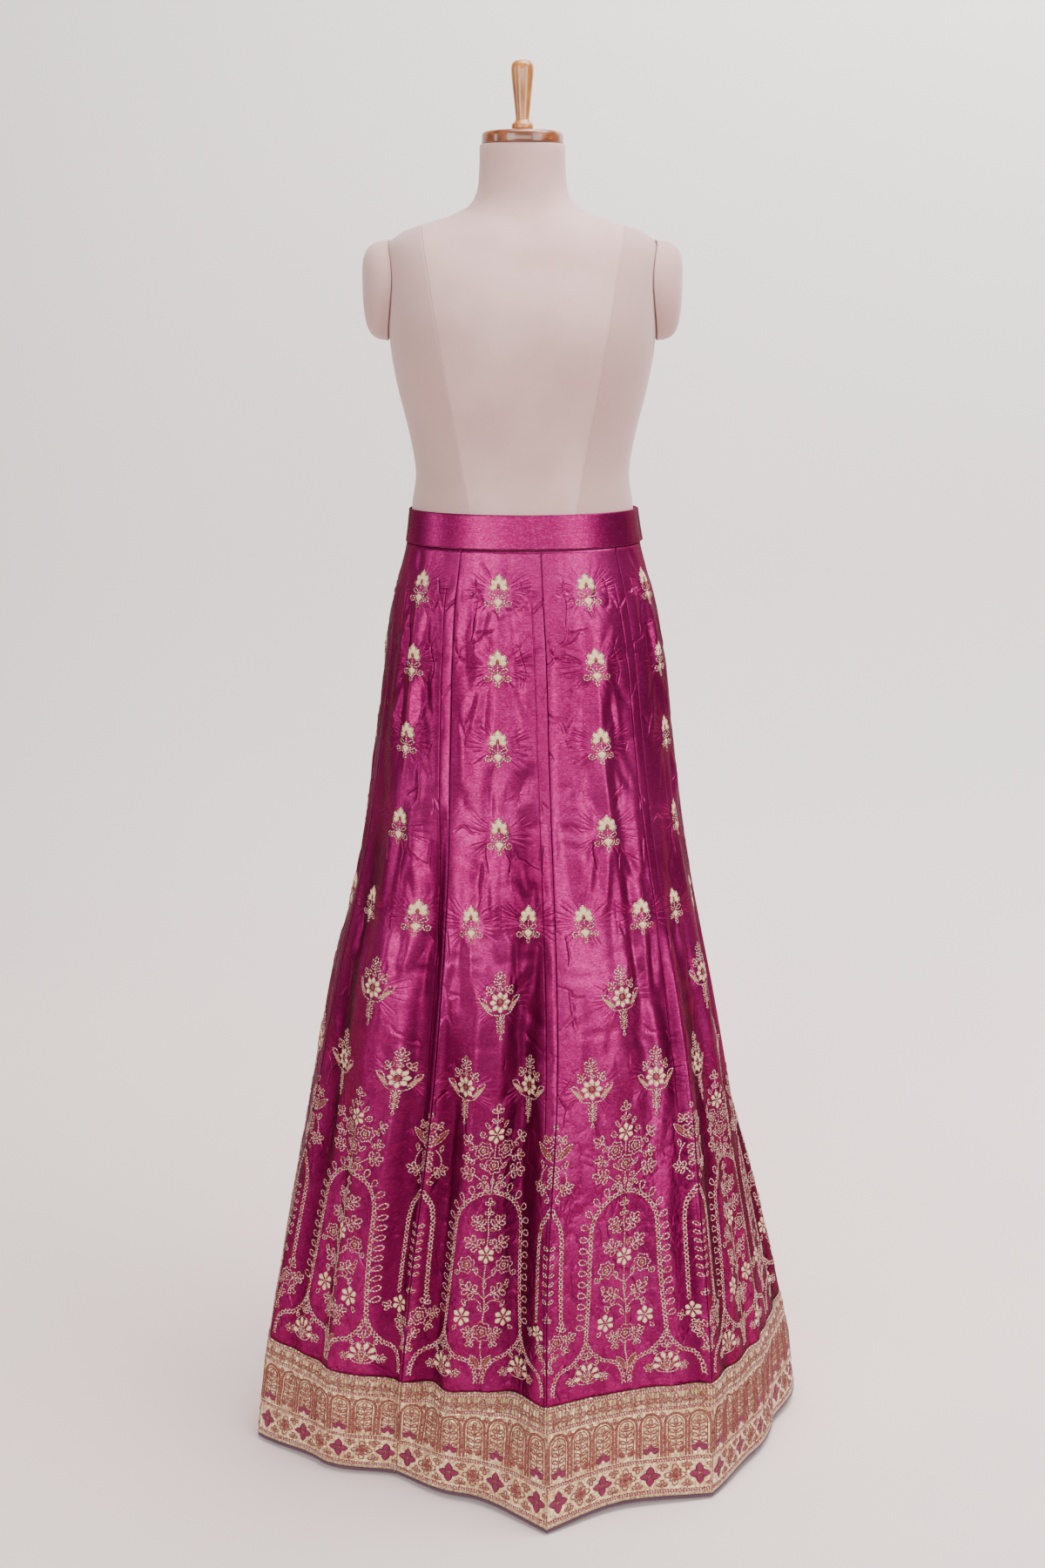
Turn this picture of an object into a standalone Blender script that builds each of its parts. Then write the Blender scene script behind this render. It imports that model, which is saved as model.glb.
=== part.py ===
"""A nine-gore lehenga skirt standing on a limbless dress form.

Everything is in metres. +Z is up, -Y is the front of the skirt, +X is the
viewer's right, and the origin is on the floor under the form's pole.

The skirt is one surface, skirt_point(turn, height). turn is an angle round
the body in degrees, 0 at the front centre and growing towards +X. Its rings
are ellipses whose sizes are in RINGS. SEAMS and PANELS say how far the cloth
stands out or falls in along each seam and down the middle of each gore, and
FOLDS lists the largest folds. Each cut piece is a wall on that surface, and
pieces that are sewn together stay SEAM_GAP apart.
"""
import math
from collections import namedtuple

import bmesh
import bpy
from mathutils import Vector

# ---------------------------------------------------------------- sizes
SEAM_GAP = 0.0003

PANEL_WALL = 0.0014
BORDER_WALL = 0.0020
BORDER_PROUD = 0.0006
PIPING_WALL = 0.0034
PIPING_PROUD = 0.0012
PIPING_HEIGHT = 0.0050
BAND_WALL = 0.0030
BAND_PROUD = 0.0016

WAIST_TOP = 1.120
BAND_HEIGHT = 0.038
BAND_FOOT = WAIST_TOP - BAND_HEIGHT

PANEL_COLUMNS = 12
PANEL_ROWS = 13
BORDER_ROWS = 2

# The band laps over itself at the opening, on the wearer's left side seam.
BAND_START = 95.0
BAND_LAP = 20.0
BAND_RAMP = 10.0
BAND_STEP = 5.0

# ---------------------------------------------------------------- the skirt's tables
# Rings of the skirt from the waist to the floor. half_front and half_back
# are measured from the ring's centre.
Ring = namedtuple("Ring", "height half_width half_front half_back centre_x centre_y")
RINGS = (
    Ring(1.130, 0.1272, 0.0950, 0.0965, 0.000, 0.000),
    Ring(1.120, 0.1280, 0.0960, 0.0980, 0.000, 0.000),
    Ring(1.080, 0.1340, 0.1015, 0.1050, 0.001, 0.000),
    Ring(1.020, 0.1485, 0.1120, 0.1185, 0.002, 0.000),
    Ring(0.950, 0.1595, 0.1220, 0.1290, 0.004, 0.000),
    Ring(0.850, 0.1715, 0.1380, 0.1430, 0.003, -0.001),
    Ring(0.750, 0.1850, 0.1540, 0.1560, 0.002, -0.001),
    Ring(0.660, 0.2025, 0.1700, 0.1690, 0.001, -0.002),
    Ring(0.550, 0.2280, 0.1890, 0.1880, 0.001, -0.004),
    Ring(0.400, 0.2610, 0.2150, 0.2120, 0.006, -0.008),
    Ring(0.250, 0.2950, 0.2410, 0.2370, 0.010, -0.014),
    Ring(0.120, 0.3190, 0.2590, 0.2560, 0.012, -0.018),
    Ring(0.000, 0.3320, 0.2680, 0.2680, 0.012, -0.020),
)

# Heights of the four levels that the next tables name.
HIP = 0.950
THIGH = 0.580
KNEE = 0.280
HEM = 0.000

# One row for each seam, going round from the front centre. turn_ is where
# the seam lies at a level, out_ is how far it stands out there (a minus
# falls in), crisp is 1 on a sharp fold and 0 on a soft one, border is the
# height of the gold border there, and lift is the hem's height off the floor.
Seam = namedtuple(
    "Seam",
    "name turn_hip turn_thigh turn_knee turn_hem out_thigh out_knee out_hem crisp border lift",
)
SEAMS = (
    Seam("centre", 8.2, 9.8, 3.5, 2.5, 0.004, 0.012, 0.013, 1.0, 0.148, 0.002),
    Seam("right", 50.5, 51.8, 43.0, 39.2, 0.003, 0.003, -0.006, 0.9, 0.139, 0.002),
    Seam("right_side", 91.0, 90.0, 85.5, 81.0, -0.001, -0.022, -0.033, 0.3, 0.134, 0.006),
    Seam("back_right", 132.0, 131.0, 128.0, 124.0, 0.002, 0.010, 0.012, 0.8, 0.137, 0.004),
    Seam("back_mid_right", 168.5, 168.0, 166.0, 163.5, -0.001, -0.018, -0.030, 0.3, 0.138, 0.003),
    Seam("back_mid_left", 203.5, 204.0, 202.0, 200.5, 0.003, 0.012, 0.014, 0.9, 0.139, 0.002),
    Seam("back_left", 241.0, 242.0, 241.0, 240.0, -0.001, -0.018, -0.028, 0.4, 0.136, 0.004),
    Seam("left_side", 284.0, 284.0, 283.5, 283.5, 0.001, 0.005, 0.011, 0.7, 0.130, 0.003),
    Seam("left", 328.8, 335.0, 329.3, 323.8, -0.002, -0.030, -0.070, 0.2, 0.127, 0.004),
)

# One row for each gore, from its seam of the same place in SEAMS to the next
# one: how far its middle stands out at three levels, and the hem's height.
Panel = namedtuple("Panel", "out_thigh out_knee out_hem lift")
PANELS = (
    Panel(-0.003, -0.015, -0.027, 0.006),
    Panel(-0.003, -0.018, -0.030, 0.006),
    Panel(0.001, 0.006, 0.006, 0.012),
    Panel(-0.001, -0.009, -0.012, 0.004),
    Panel(0.000, 0.000, -0.004, 0.006),
    Panel(-0.002, -0.010, -0.014, 0.005),
    Panel(0.001, -0.001, -0.006, 0.006),
    Panel(-0.001, -0.015, -0.030, 0.005),
    Panel(-0.004, -0.028, -0.049, 0.006),
)

# The largest folds: troughs that run down the cloth, with where each one
# starts and ends, half its width in degrees and its depth. A minus is a ridge.
Fold = namedtuple("Fold", "top foot turn_top turn_foot half_width depth")
FOLDS = (
    Fold(0.74, 0.06, 1.5, -5.5, 7.0, 0.017),
    Fold(0.58, 0.03, -18.0, -27.0, 6.5, 0.011),
    Fold(0.50, 0.10, -55.0, -60.0, 7.0, 0.008),
    Fold(0.88, 0.30, 40.0, 36.0, 5.0, 0.005),
    Fold(0.70, 0.05, 66.0, 62.0, 7.5, 0.009),
    Fold(0.62, 0.08, 101.0, 97.0, 6.5, 0.008),
    Fold(0.66, 0.04, 148.0, 145.0, 8.0, 0.013),
    Fold(0.52, 0.03, 186.0, 184.0, 7.0, 0.011),
    Fold(0.72, 0.08, 222.0, 220.0, 7.5, 0.014),
    Fold(0.55, 0.05, 262.0, 264.0, 7.0, 0.009),
    Fold(0.60, 0.12, -35.0, -47.0, 5.0, -0.005),
    Fold(0.64, 0.12, 116.0, 112.0, 6.0, -0.005),
)
FOLD_RISE = 0.40
FOLD_FADE = 0.18

# ---------------------------------------------------------------- the form's tables
# Rings of the padded body. Those at the waist, at SEAT_HEIGHTS, take their
# size from the waistband, which rests on them.
FormRing = namedtuple("FormRing", "height half_width half_front half_back roundness")
FORM_BELOW_BAND = (
    FormRing(0.790, 0.1180, 0.0860, 0.0920, 2.0),
    FormRing(0.794, 0.1300, 0.0960, 0.1020, 2.0),
    FormRing(0.808, 0.1390, 0.1035, 0.1090, 2.0),
    FormRing(0.850, 0.1475, 0.1105, 0.1175, 2.0),
    FormRing(0.920, 0.1515, 0.1145, 0.1220, 2.0),
    FormRing(0.980, 0.1470, 0.1100, 0.1165, 2.0),
    FormRing(1.040, 0.1360, 0.1010, 0.1060, 2.0),
)
FORM_ABOVE_BAND = (
    FormRing(1.160, 0.1215, 0.0895, 0.0900, 2.0),
    FormRing(1.205, 0.1285, 0.0950, 0.0905, 2.1),
    FormRing(1.250, 0.1395, 0.1075, 0.0930, 2.2),
    FormRing(1.290, 0.1470, 0.1165, 0.0960, 2.3),
    FormRing(1.330, 0.1505, 0.1140, 0.0985, 2.4),
    FormRing(1.370, 0.1520, 0.1010, 0.0985, 2.4),
    FormRing(1.400, 0.1520, 0.0860, 0.0935, 2.3),
    FormRing(1.416, 0.1470, 0.0740, 0.0850, 2.2),
    FormRing(1.426, 0.1330, 0.0660, 0.0760, 2.1),
    FormRing(1.434, 0.1100, 0.0590, 0.0680, 2.0),
    FormRing(1.442, 0.0820, 0.0530, 0.0610, 2.0),
    FormRing(1.452, 0.0610, 0.0490, 0.0550, 2.0),
    FormRing(1.468, 0.0510, 0.0460, 0.0510, 2.0),
    FormRing(1.492, 0.0480, 0.0445, 0.0490, 2.0),
    FormRing(1.519, 0.0475, 0.0440, 0.0480, 2.0),
)
SEAT_HEIGHTS = (1.072, 1.082, 1.096, 1.110, 1.120, 1.128)
FORM_SEGMENTS = 36

# The padded covers over the cut shoulders.
CAP_HEIGHT = 1.3620
CAP_HALF_HEIGHT = 0.0545
CAP_HALF_DEPTH = 0.0480
CAP_SEAT = 0.0010
CAP_DOME = 0.0260
CAP_SHIFT_Y = 0.003
CAP_SEGMENTS = 24
CapRow = namedtuple("CapRow", "spread rise")
CAP_ROWS = (
    CapRow(0.15, 0.0),
    CapRow(0.60, 0.0),
    CapRow(0.97, 0.0),
    CapRow(1.00, 0.18),
    CapRow(0.98, 0.46),
    CapRow(0.90, 0.72),
    CapRow(0.73, 0.90),
    CapRow(0.43, 0.98),
    CapRow(0.14, 1.00),
)

# Turned pieces, as radius and height from the piece's own foot.
NECK_TOP = 1.519
DISC_PROFILE = (
    (0.0440, 0.0000),
    (0.0452, 0.0012),
    (0.0452, 0.0080),
    (0.0444, 0.0110),
    (0.0425, 0.0128),
    (0.0395, 0.0135),
)
DISC_HEIGHT = 0.0135
HANDLE_PROFILE = (
    (0.0088, 0.0000),
    (0.0114, 0.0018),
    (0.0122, 0.0045),
    (0.0116, 0.0075),
    (0.0090, 0.0100),
    (0.0077, 0.0122),
    (0.0078, 0.0160),
    (0.0092, 0.0300),
    (0.0110, 0.0460),
    (0.0124, 0.0600),
    (0.0126, 0.0665),
    (0.0116, 0.0710),
    (0.0088, 0.0738),
    (0.0045, 0.0750),
)
TURNED_SEGMENTS = 32

BASE_RADIUS = 0.150
BASE_PROFILE = (
    (BASE_RADIUS - 0.0015, 0.0000),
    (BASE_RADIUS, 0.0015),
    (BASE_RADIUS, 0.0070),
    (BASE_RADIUS - 0.0030, 0.0100),
    (0.0340, 0.0140),
    (0.0300, 0.0160),
    (0.0280, 0.0300),
    (0.0260, 0.0320),
)
BASE_HEIGHT = 0.0320
BASE_SEGMENTS = 48
POLE_RADIUS = 0.0160
POLE_SEGMENTS = 20


# ---------------------------------------------------------------- curves
def smooth_step(amount):
    """0 below 0, 1 above 1, and an easy S between them."""
    amount = min(max(amount, 0.0), 1.0)
    return amount * amount * (3.0 - 2.0 * amount)


def curve_through(places, values, place):
    """A smooth curve through the values of a table whose places fall."""
    last = len(places) - 1
    if place >= places[0]:
        return values[0]
    if place <= places[last]:
        return values[last]
    row = next(i for i in range(last) if places[i + 1] <= place)
    slopes = []
    for i in (row, row + 1):
        low, high = max(i - 1, 0), min(i + 1, last)
        slopes.append((values[high] - values[low]) / (places[high] - places[low]))
    step = places[row + 1] - places[row]
    t = (place - places[row]) / step
    return (
        values[row] * (1.0 + 2.0 * t) * (1.0 - t) ** 2
        + values[row + 1] * t * t * (3.0 - 2.0 * t)
        + slopes[0] * step * t * (1.0 - t) ** 2
        - slopes[1] * step * t * t * (1.0 - t)
    )


def ring_at(height):
    """The skirt's ring at a height: half width, front, back and its centre."""
    places = [ring.height for ring in RINGS]
    return Ring(height, *(
        curve_through(places, [getattr(ring, name) for ring in RINGS], height)
        for name in Ring._fields[1:]
    ))


def level_value(row, name, height):
    """A table value that is given at the thigh, knee and hem, and 0 at the hip."""
    values = [0.0] + [getattr(row, name + level) for level in ("_thigh", "_knee", "_hem")]
    return curve_through((HIP, THIGH, KNEE, HEM), values, height)


def seam_turn(index, height):
    """Where a seam lies round the body. The first one comes again at 360."""
    lap, index = divmod(index, len(SEAMS))
    seam = SEAMS[index]
    values = (seam.turn_hip, seam.turn_thigh, seam.turn_knee, seam.turn_hem)
    return curve_through((HIP, THIGH, KNEE, HEM), values, height) + 360.0 * lap


def panel_place(turn, height):
    """Which gore a turn falls in, and how far across that gore it is."""
    first = seam_turn(0, height)
    turn = first + (turn - first) % 360.0
    for index in range(len(SEAMS)):
        start, end = seam_turn(index, height), seam_turn(index + 1, height)
        if turn <= end:
            return index, (turn - start) / (end - start)
    return len(SEAMS) - 1, 1.0


def between(index, across, seam_value, panel_value):
    """Goes from a seam's value to the gore's middle and on to the next seam."""
    half = 2.0 * across if across <= 0.5 else 2.0 - 2.0 * across
    seam = SEAMS[(index if across <= 0.5 else index + 1) % len(SEAMS)]
    sharp = math.sin(0.5 * math.pi * half)
    soft = smooth_step(half)
    ease = seam.crisp * sharp + (1.0 - seam.crisp) * soft
    return seam_value(seam) + (panel_value(PANELS[index]) - seam_value(seam)) * ease


def fold_depth(turn, height):
    """How far the large folds move the cloth here. A trough is a minus."""
    moved = 0.0
    for fold in FOLDS:
        run = (fold.top - height) / (fold.top - fold.foot)
        if not 0.0 < run < 1.0:
            continue
        middle = fold.turn_top + (fold.turn_foot - fold.turn_top) * run
        away = (turn - middle + 180.0) % 360.0 - 180.0
        if abs(away) >= fold.half_width:
            continue
        strength = smooth_step(run / FOLD_RISE) * smooth_step((1.0 - run) / FOLD_FADE)
        bell = math.cos(0.5 * math.pi * away / fold.half_width) ** 2
        moved -= fold.depth * strength * bell
    return moved


# ---------------------------------------------------------------- the skirt's surface
def ring_point(turn, height):
    """A point on the plain ring, and the ring's outward direction there."""
    ring = ring_at(height)
    angle = math.radians(turn)
    depth = ring.half_front if math.cos(angle) > 0.0 else ring.half_back
    place = Vector((
        ring.centre_x + ring.half_width * math.sin(angle),
        ring.centre_y - depth * math.cos(angle),
        height,
    ))
    outward = Vector((depth * math.sin(angle), -ring.half_width * math.cos(angle), 0.0))
    return place, outward.normalized()


def skirt_point(turn, height):
    """The outer face of the skirt's cloth."""
    place, outward = ring_point(turn, height)
    index, across = panel_place(turn, height)
    stand_out = between(
        index, across,
        lambda seam: level_value(seam, "out", height),
        lambda panel: level_value(panel, "out", height),
    )
    return place + outward * (stand_out + fold_depth(turn, height))


def skirt_normal(turn, height):
    """The cloth's outward direction, from four points close by."""
    turn_step, height_step = 0.4, 0.003
    along = skirt_point(turn + turn_step, height) - skirt_point(turn - turn_step, height)
    up = skirt_point(turn, height + height_step) - skirt_point(turn, height - height_step)
    return along.cross(up).normalized()


def turn_across(index, across, height):
    """The turn at a share of the way across a gore, clear of its two seams."""
    start, end = seam_turn(index, height), seam_turn(index + 1, height)
    edges = []
    for turn, side in ((start, 1.0), (end, -1.0)):
        reach = (skirt_point(turn + side, height) - skirt_point(turn, height)).length
        edges.append(turn + side * 0.5 * SEAM_GAP / reach)
    return edges[0] + (edges[1] - edges[0]) * across


def hem_height(index, across):
    """The height of the skirt's lower edge off the floor."""
    return between(index, across, lambda seam: seam.lift, lambda panel: panel.lift)


def border_top(index, across):
    """The height at which the gold border is sewn to the gore."""
    start, end = SEAMS[index], SEAMS[(index + 1) % len(SEAMS)]
    return start.border + (end.border - start.border) * across


# ---------------------------------------------------------------- making solids
def material(name, colour, roughness, metallic=0.0):
    """A plain surface in one colour."""
    made = bpy.data.materials.new(name)
    made.use_nodes = True
    shader = made.node_tree.nodes["Principled BSDF"]
    shader.inputs["Base Color"].default_value = (*colour, 1.0)
    shader.inputs["Roughness"].default_value = roughness
    shader.inputs["Metallic"].default_value = metallic
    return made


def finish_solid(name, mesh, finish, smooth_angle=40.0):
    """Turns a bmesh into a named object with its material."""
    bmesh.ops.remove_doubles(mesh, verts=mesh.verts[:], dist=1e-7)
    bmesh.ops.recalc_face_normals(mesh, faces=mesh.faces[:])
    data = bpy.data.meshes.new(name)
    mesh.to_mesh(data)
    mesh.free()
    data.materials.append(finish)
    data.shade_smooth()
    data.set_sharp_from_angle(angle=math.radians(smooth_angle))
    solid = bpy.data.objects.new(name, data)
    bpy.context.scene.collection.objects.link(solid)
    return solid


def cloth_wall(name, columns, rows, place, finish):
    """A wall of cloth. place(across, down, inner) gives each corner of it."""
    mesh = bmesh.new()
    bmesh.ops.create_grid(mesh, x_segments=columns, y_segments=rows, size=0.5)
    inside = mesh.verts[:]
    grown = bmesh.ops.extrude_face_region(mesh, geom=mesh.faces[:])
    outside = [item for item in grown["geom"] if isinstance(item, bmesh.types.BMVert)]
    for layer, inner in ((inside, True), (outside, False)):
        for corner in layer:
            corner.co = place(corner.co.x + 0.5, 0.5 - corner.co.y, inner)
    return finish_solid(name, mesh, finish)


def lofted(name, segments, rows, place, finish):
    """A closed body through rings. place(turn, row) gives each corner of it."""
    mesh = bmesh.new()
    bmesh.ops.create_circle(mesh, cap_ends=True, segments=segments, radius=1.0)
    lid = mesh.faces[:]
    for row in range(1, rows):
        grown = bmesh.ops.extrude_face_region(mesh, geom=lid)
        if row > 1:
            bmesh.ops.delete(mesh, geom=lid, context="FACES_ONLY")
        lid = [item for item in grown["geom"] if isinstance(item, bmesh.types.BMFace)]
        raised = [item for item in grown["geom"] if isinstance(item, bmesh.types.BMVert)]
        bmesh.ops.translate(mesh, verts=raised, vec=(0.0, 0.0, 1.0))
    for corner in mesh.verts:
        turn = math.degrees(math.atan2(corner.co.x, -corner.co.y))
        corner.co = place(turn, round(corner.co.z))
    return finish_solid(name, mesh, finish)


def turned(name, profile, foot, segments, finish):
    """A solid turned on the form's axis from radius and height pairs."""
    mesh = bmesh.new()
    points = [(0.0, profile[0][1])] + list(profile) + [(0.0, profile[-1][1])]
    corners = [mesh.verts.new((radius, 0.0, foot + rise)) for radius, rise in points]
    edges = [mesh.edges.new(pair) for pair in zip(corners, corners[1:])]
    bmesh.ops.spin(
        mesh, geom=corners + edges, cent=(0.0, 0.0, 0.0), axis=(0.0, 0.0, 1.0),
        angle=math.tau, steps=segments, use_merge=True,
    )
    bmesh.ops.remove_doubles(mesh, verts=mesh.verts[:], dist=1e-6)
    return finish_solid(name, mesh, finish)


# ---------------------------------------------------------------- the cut pieces
def piece_point(index, across, height, proud, wall, inner):
    """A corner of a piece sewn into the skirt, on its outer or inner face."""
    turn = turn_across(index, across, height)
    return skirt_point(turn, height) + skirt_normal(turn, height) * (proud - (wall if inner else 0.0))


def gore(index, finish):
    """One flared gore, from under the waistband to the border."""
    def place(across, down, inner):
        top = BAND_FOOT - 0.5 * SEAM_GAP
        foot = border_top(index, across) + 0.5 * SEAM_GAP
        return piece_point(index, across, top + (foot - top) * down, 0.0, PANEL_WALL, inner)
    return cloth_wall(f"gore_{index + 1:02d}", PANEL_COLUMNS, PANEL_ROWS, place, finish)


def border(index, finish):
    """The gold strip sewn to the foot of one gore."""
    def place(across, down, inner):
        top = border_top(index, across) - 0.5 * SEAM_GAP
        foot = hem_height(index, across) + PIPING_HEIGHT + SEAM_GAP
        height = top + (foot - top) * down
        return piece_point(index, across, height, BORDER_PROUD, BORDER_WALL, inner)
    return cloth_wall(f"border_{index + 1:02d}", PANEL_COLUMNS, BORDER_ROWS, place, finish)


def piping(index, finish):
    """The dark folded strip that finishes the hem of one gore."""
    def place(across, down, inner):
        height = hem_height(index, across) + PIPING_HEIGHT * (1.0 - down)
        return piece_point(index, across, height, PIPING_PROUD, PIPING_WALL, inner)
    return cloth_wall(f"hem_piping_{index + 1:02d}", PANEL_COLUMNS, 1, place, finish)


def band_lift(run):
    """How far the lapping end of the waistband is raised off its first end."""
    raised = BAND_WALL + SEAM_GAP
    return raised * smooth_step((run - (360.0 - BAND_RAMP)) / BAND_RAMP)


def waistband(finish):
    """One straight strip round the waist whose end laps over its start."""
    length = 360.0 + BAND_LAP

    def place(across, down, inner):
        run = length * across
        height = WAIST_TOP - (BAND_HEIGHT - 0.5 * SEAM_GAP) * down
        proud = BAND_PROUD + band_lift(run)
        point, outward = ring_point(BAND_START + run, height)
        return point + outward * (proud - (BAND_WALL if inner else 0.0))
    return cloth_wall("waistband", round(length / BAND_STEP), 1, place, finish)


# ---------------------------------------------------------------- the form and its stand
def form_rings():
    """All the form's rings, with those under the waistband shaped to hold it."""
    inset = BAND_WALL - BAND_PROUD + SEAM_GAP
    seat = []
    for height in SEAT_HEIGHTS:
        ring = ring_at(height)
        seat.append(FormRing(
            height, ring.half_width - inset, ring.half_front - inset, ring.half_back - inset, None,
        ))
    return FORM_BELOW_BAND + tuple(seat) + FORM_ABOVE_BAND


def round_outline(ring, turn):
    """A point on a body ring: an ellipse, a little squared by its roundness."""
    sine, cosine = math.sin(math.radians(turn)), math.cos(math.radians(turn))
    power = 2.0 / ring.roundness
    depth = ring.half_front if cosine > 0.0 else ring.half_back
    return Vector((
        ring.half_width * math.copysign(abs(sine) ** power, sine),
        -depth * math.copysign(abs(cosine) ** power, cosine),
        ring.height,
    ))


def form_body(finish):
    """The padded torso with its neck, flat at both ends."""
    rings = form_rings()
    inset = BAND_WALL - BAND_PROUD + SEAM_GAP

    def place(turn, row):
        ring = rings[row]
        if ring.roundness is None:
            point, outward = ring_point(turn, ring.height)
            return point - outward * inset
        return round_outline(ring, turn)
    return lofted("form_body", FORM_SEGMENTS, len(rings), place, finish)


def torso_side(depth, height):
    """The torso's half width at a height and a distance in front of the axis."""
    rings = FORM_ABOVE_BAND[::-1]
    places = [ring.height for ring in rings]
    ring = FormRing(height, *(
        curve_through(places, [getattr(ring, name) for ring in rings], height)
        for name in FormRing._fields[1:]
    ))
    reach = ring.half_front if depth < 0.0 else ring.half_back
    share = min(abs(depth) / reach, 1.0)
    return ring.half_width * (1.0 - share ** ring.roundness) ** (1.0 / ring.roundness)


def shoulder_cap(name, side, finish):
    """A domed cover over a cut shoulder, seated on the torso."""
    def place(turn, row):
        spread, rise = CAP_ROWS[row]
        angle = math.radians(turn)
        depth = CAP_SHIFT_Y + CAP_HALF_DEPTH * spread * math.sin(angle)
        height = CAP_HEIGHT + CAP_HALF_HEIGHT * spread * math.cos(angle)
        seat = torso_side(depth, height) + CAP_SEAT
        return Vector((side * (seat + CAP_DOME * rise), depth, height))
    return lofted(name, CAP_SEGMENTS, len(CAP_ROWS), place, finish)


def stand_pole(finish):
    """The steel pole between the base and the underside of the torso."""
    foot = BASE_HEIGHT + SEAM_GAP
    top = FORM_BELOW_BAND[0].height - SEAM_GAP
    mesh = bmesh.new()
    bmesh.ops.create_cone(
        mesh, cap_ends=True, segments=POLE_SEGMENTS,
        radius1=POLE_RADIUS, radius2=POLE_RADIUS, depth=top - foot,
    )
    bmesh.ops.translate(mesh, verts=mesh.verts[:], vec=(0.0, 0.0, 0.5 * (top + foot)))
    return finish_solid("stand_pole", mesh, finish)


def build():
    """Clears the scene and makes every piece."""
    for old in list(bpy.data.objects):
        bpy.data.objects.remove(old, do_unlink=True)

    taffeta = material("magenta_taffeta", (0.300, 0.021, 0.140), 0.42)
    gold = material("gold_brocade", (0.560, 0.400, 0.200), 0.45, 0.25)
    plum = material("plum_piping", (0.045, 0.010, 0.026), 0.55)
    jersey = material("form_jersey", (0.500, 0.440, 0.430), 0.85)
    amber = material("handle_wood", (0.480, 0.190, 0.040), 0.30)
    redwood = material("disc_wood", (0.300, 0.090, 0.025), 0.30)
    enamel = material("stand_enamel", (0.030, 0.030, 0.032), 0.40, 0.60)

    for index in range(len(SEAMS)):
        gore(index, taffeta)
        border(index, gold)
        piping(index, plum)
    waistband(taffeta)

    form_body(jersey)
    shoulder_cap("shoulder_cap_left", -1.0, jersey)
    shoulder_cap("shoulder_cap_right", 1.0, jersey)
    disc_foot = NECK_TOP + SEAM_GAP
    turned("neck_disc", DISC_PROFILE, disc_foot, TURNED_SEGMENTS, redwood)
    handle_foot = disc_foot + DISC_HEIGHT + SEAM_GAP
    turned("neck_handle", HANDLE_PROFILE, handle_foot, TURNED_SEGMENTS, amber)
    stand_pole(enamel)
    turned("stand_base", BASE_PROFILE, 0.0, BASE_SEGMENTS, enamel)


build()
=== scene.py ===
"""The looks of a nine-gore lehenga skirt on its dress form.

Metres, +Z up, -Y the front, +X the viewer's right. The skirt's cloth is laid
on the same surface as the solids, from the same tables, and carries creases,
seam allowances and raised thread work. Thread work is drawn flat once, in
millimetres on a plain gore, and then laid on each gore.
"""

import math
from collections import namedtuple

import bmesh
import bpy
import numpy as np
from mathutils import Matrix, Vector


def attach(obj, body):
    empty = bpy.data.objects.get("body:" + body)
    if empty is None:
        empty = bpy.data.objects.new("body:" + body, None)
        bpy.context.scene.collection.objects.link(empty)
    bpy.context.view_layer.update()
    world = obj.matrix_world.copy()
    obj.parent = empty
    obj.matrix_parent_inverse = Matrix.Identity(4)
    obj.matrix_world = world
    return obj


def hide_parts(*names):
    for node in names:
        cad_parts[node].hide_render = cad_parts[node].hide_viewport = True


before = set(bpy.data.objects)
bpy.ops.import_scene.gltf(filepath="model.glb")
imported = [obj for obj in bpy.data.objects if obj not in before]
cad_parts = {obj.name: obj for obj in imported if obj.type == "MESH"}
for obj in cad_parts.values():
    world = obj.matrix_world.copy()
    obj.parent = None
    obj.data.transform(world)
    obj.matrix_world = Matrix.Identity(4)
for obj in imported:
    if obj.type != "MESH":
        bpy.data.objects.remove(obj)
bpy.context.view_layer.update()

MM = 0.001
TO_MM = 1000.0


def table(kind, *rows):
    """Rows of numbers as named tuples of one kind."""
    return tuple(kind(*row) for row in rows)


# ======== the skirt's sizes
SEAM_GAP = 0.0003
BORDER_PROUD = 0.0006
PIPING_WALL = 0.0034
PIPING_PROUD = 0.0012
PIPING_HEIGHT = 0.0050
BAND_WALL = 0.0030
BAND_PROUD = 0.0016
WAIST_TOP = 1.120
BAND_HEIGHT = 0.038
BAND_FOOT = WAIST_TOP - BAND_HEIGHT
BAND_START = 95.0
BAND_LAP = 20.0
BAND_RAMP = 10.0

Ring = namedtuple("Ring", "height half_width half_front half_back centre_x centre_y")
RINGS = table(
    Ring,
    (1.130, 0.1272, 0.0950, 0.0965, 0.000, 0.000),
    (1.120, 0.1280, 0.0960, 0.0980, 0.000, 0.000),
    (1.080, 0.1340, 0.1015, 0.1050, 0.001, 0.000),
    (1.020, 0.1485, 0.1120, 0.1185, 0.002, 0.000),
    (0.950, 0.1595, 0.1220, 0.1290, 0.004, 0.000),
    (0.850, 0.1715, 0.1380, 0.1430, 0.003, -0.001),
    (0.750, 0.1850, 0.1540, 0.1560, 0.002, -0.001),
    (0.660, 0.2025, 0.1700, 0.1690, 0.001, -0.002),
    (0.550, 0.2280, 0.1890, 0.1880, 0.001, -0.004),
    (0.400, 0.2610, 0.2150, 0.2120, 0.006, -0.008),
    (0.250, 0.2950, 0.2410, 0.2370, 0.010, -0.014),
    (0.120, 0.3190, 0.2590, 0.2560, 0.012, -0.018),
    (0.000, 0.3320, 0.2680, 0.2680, 0.012, -0.020),
)

HIP = 0.950
THIGH = 0.580
KNEE = 0.280
HEM = 0.000
LEVELS = (HIP, THIGH, KNEE, HEM)

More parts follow.
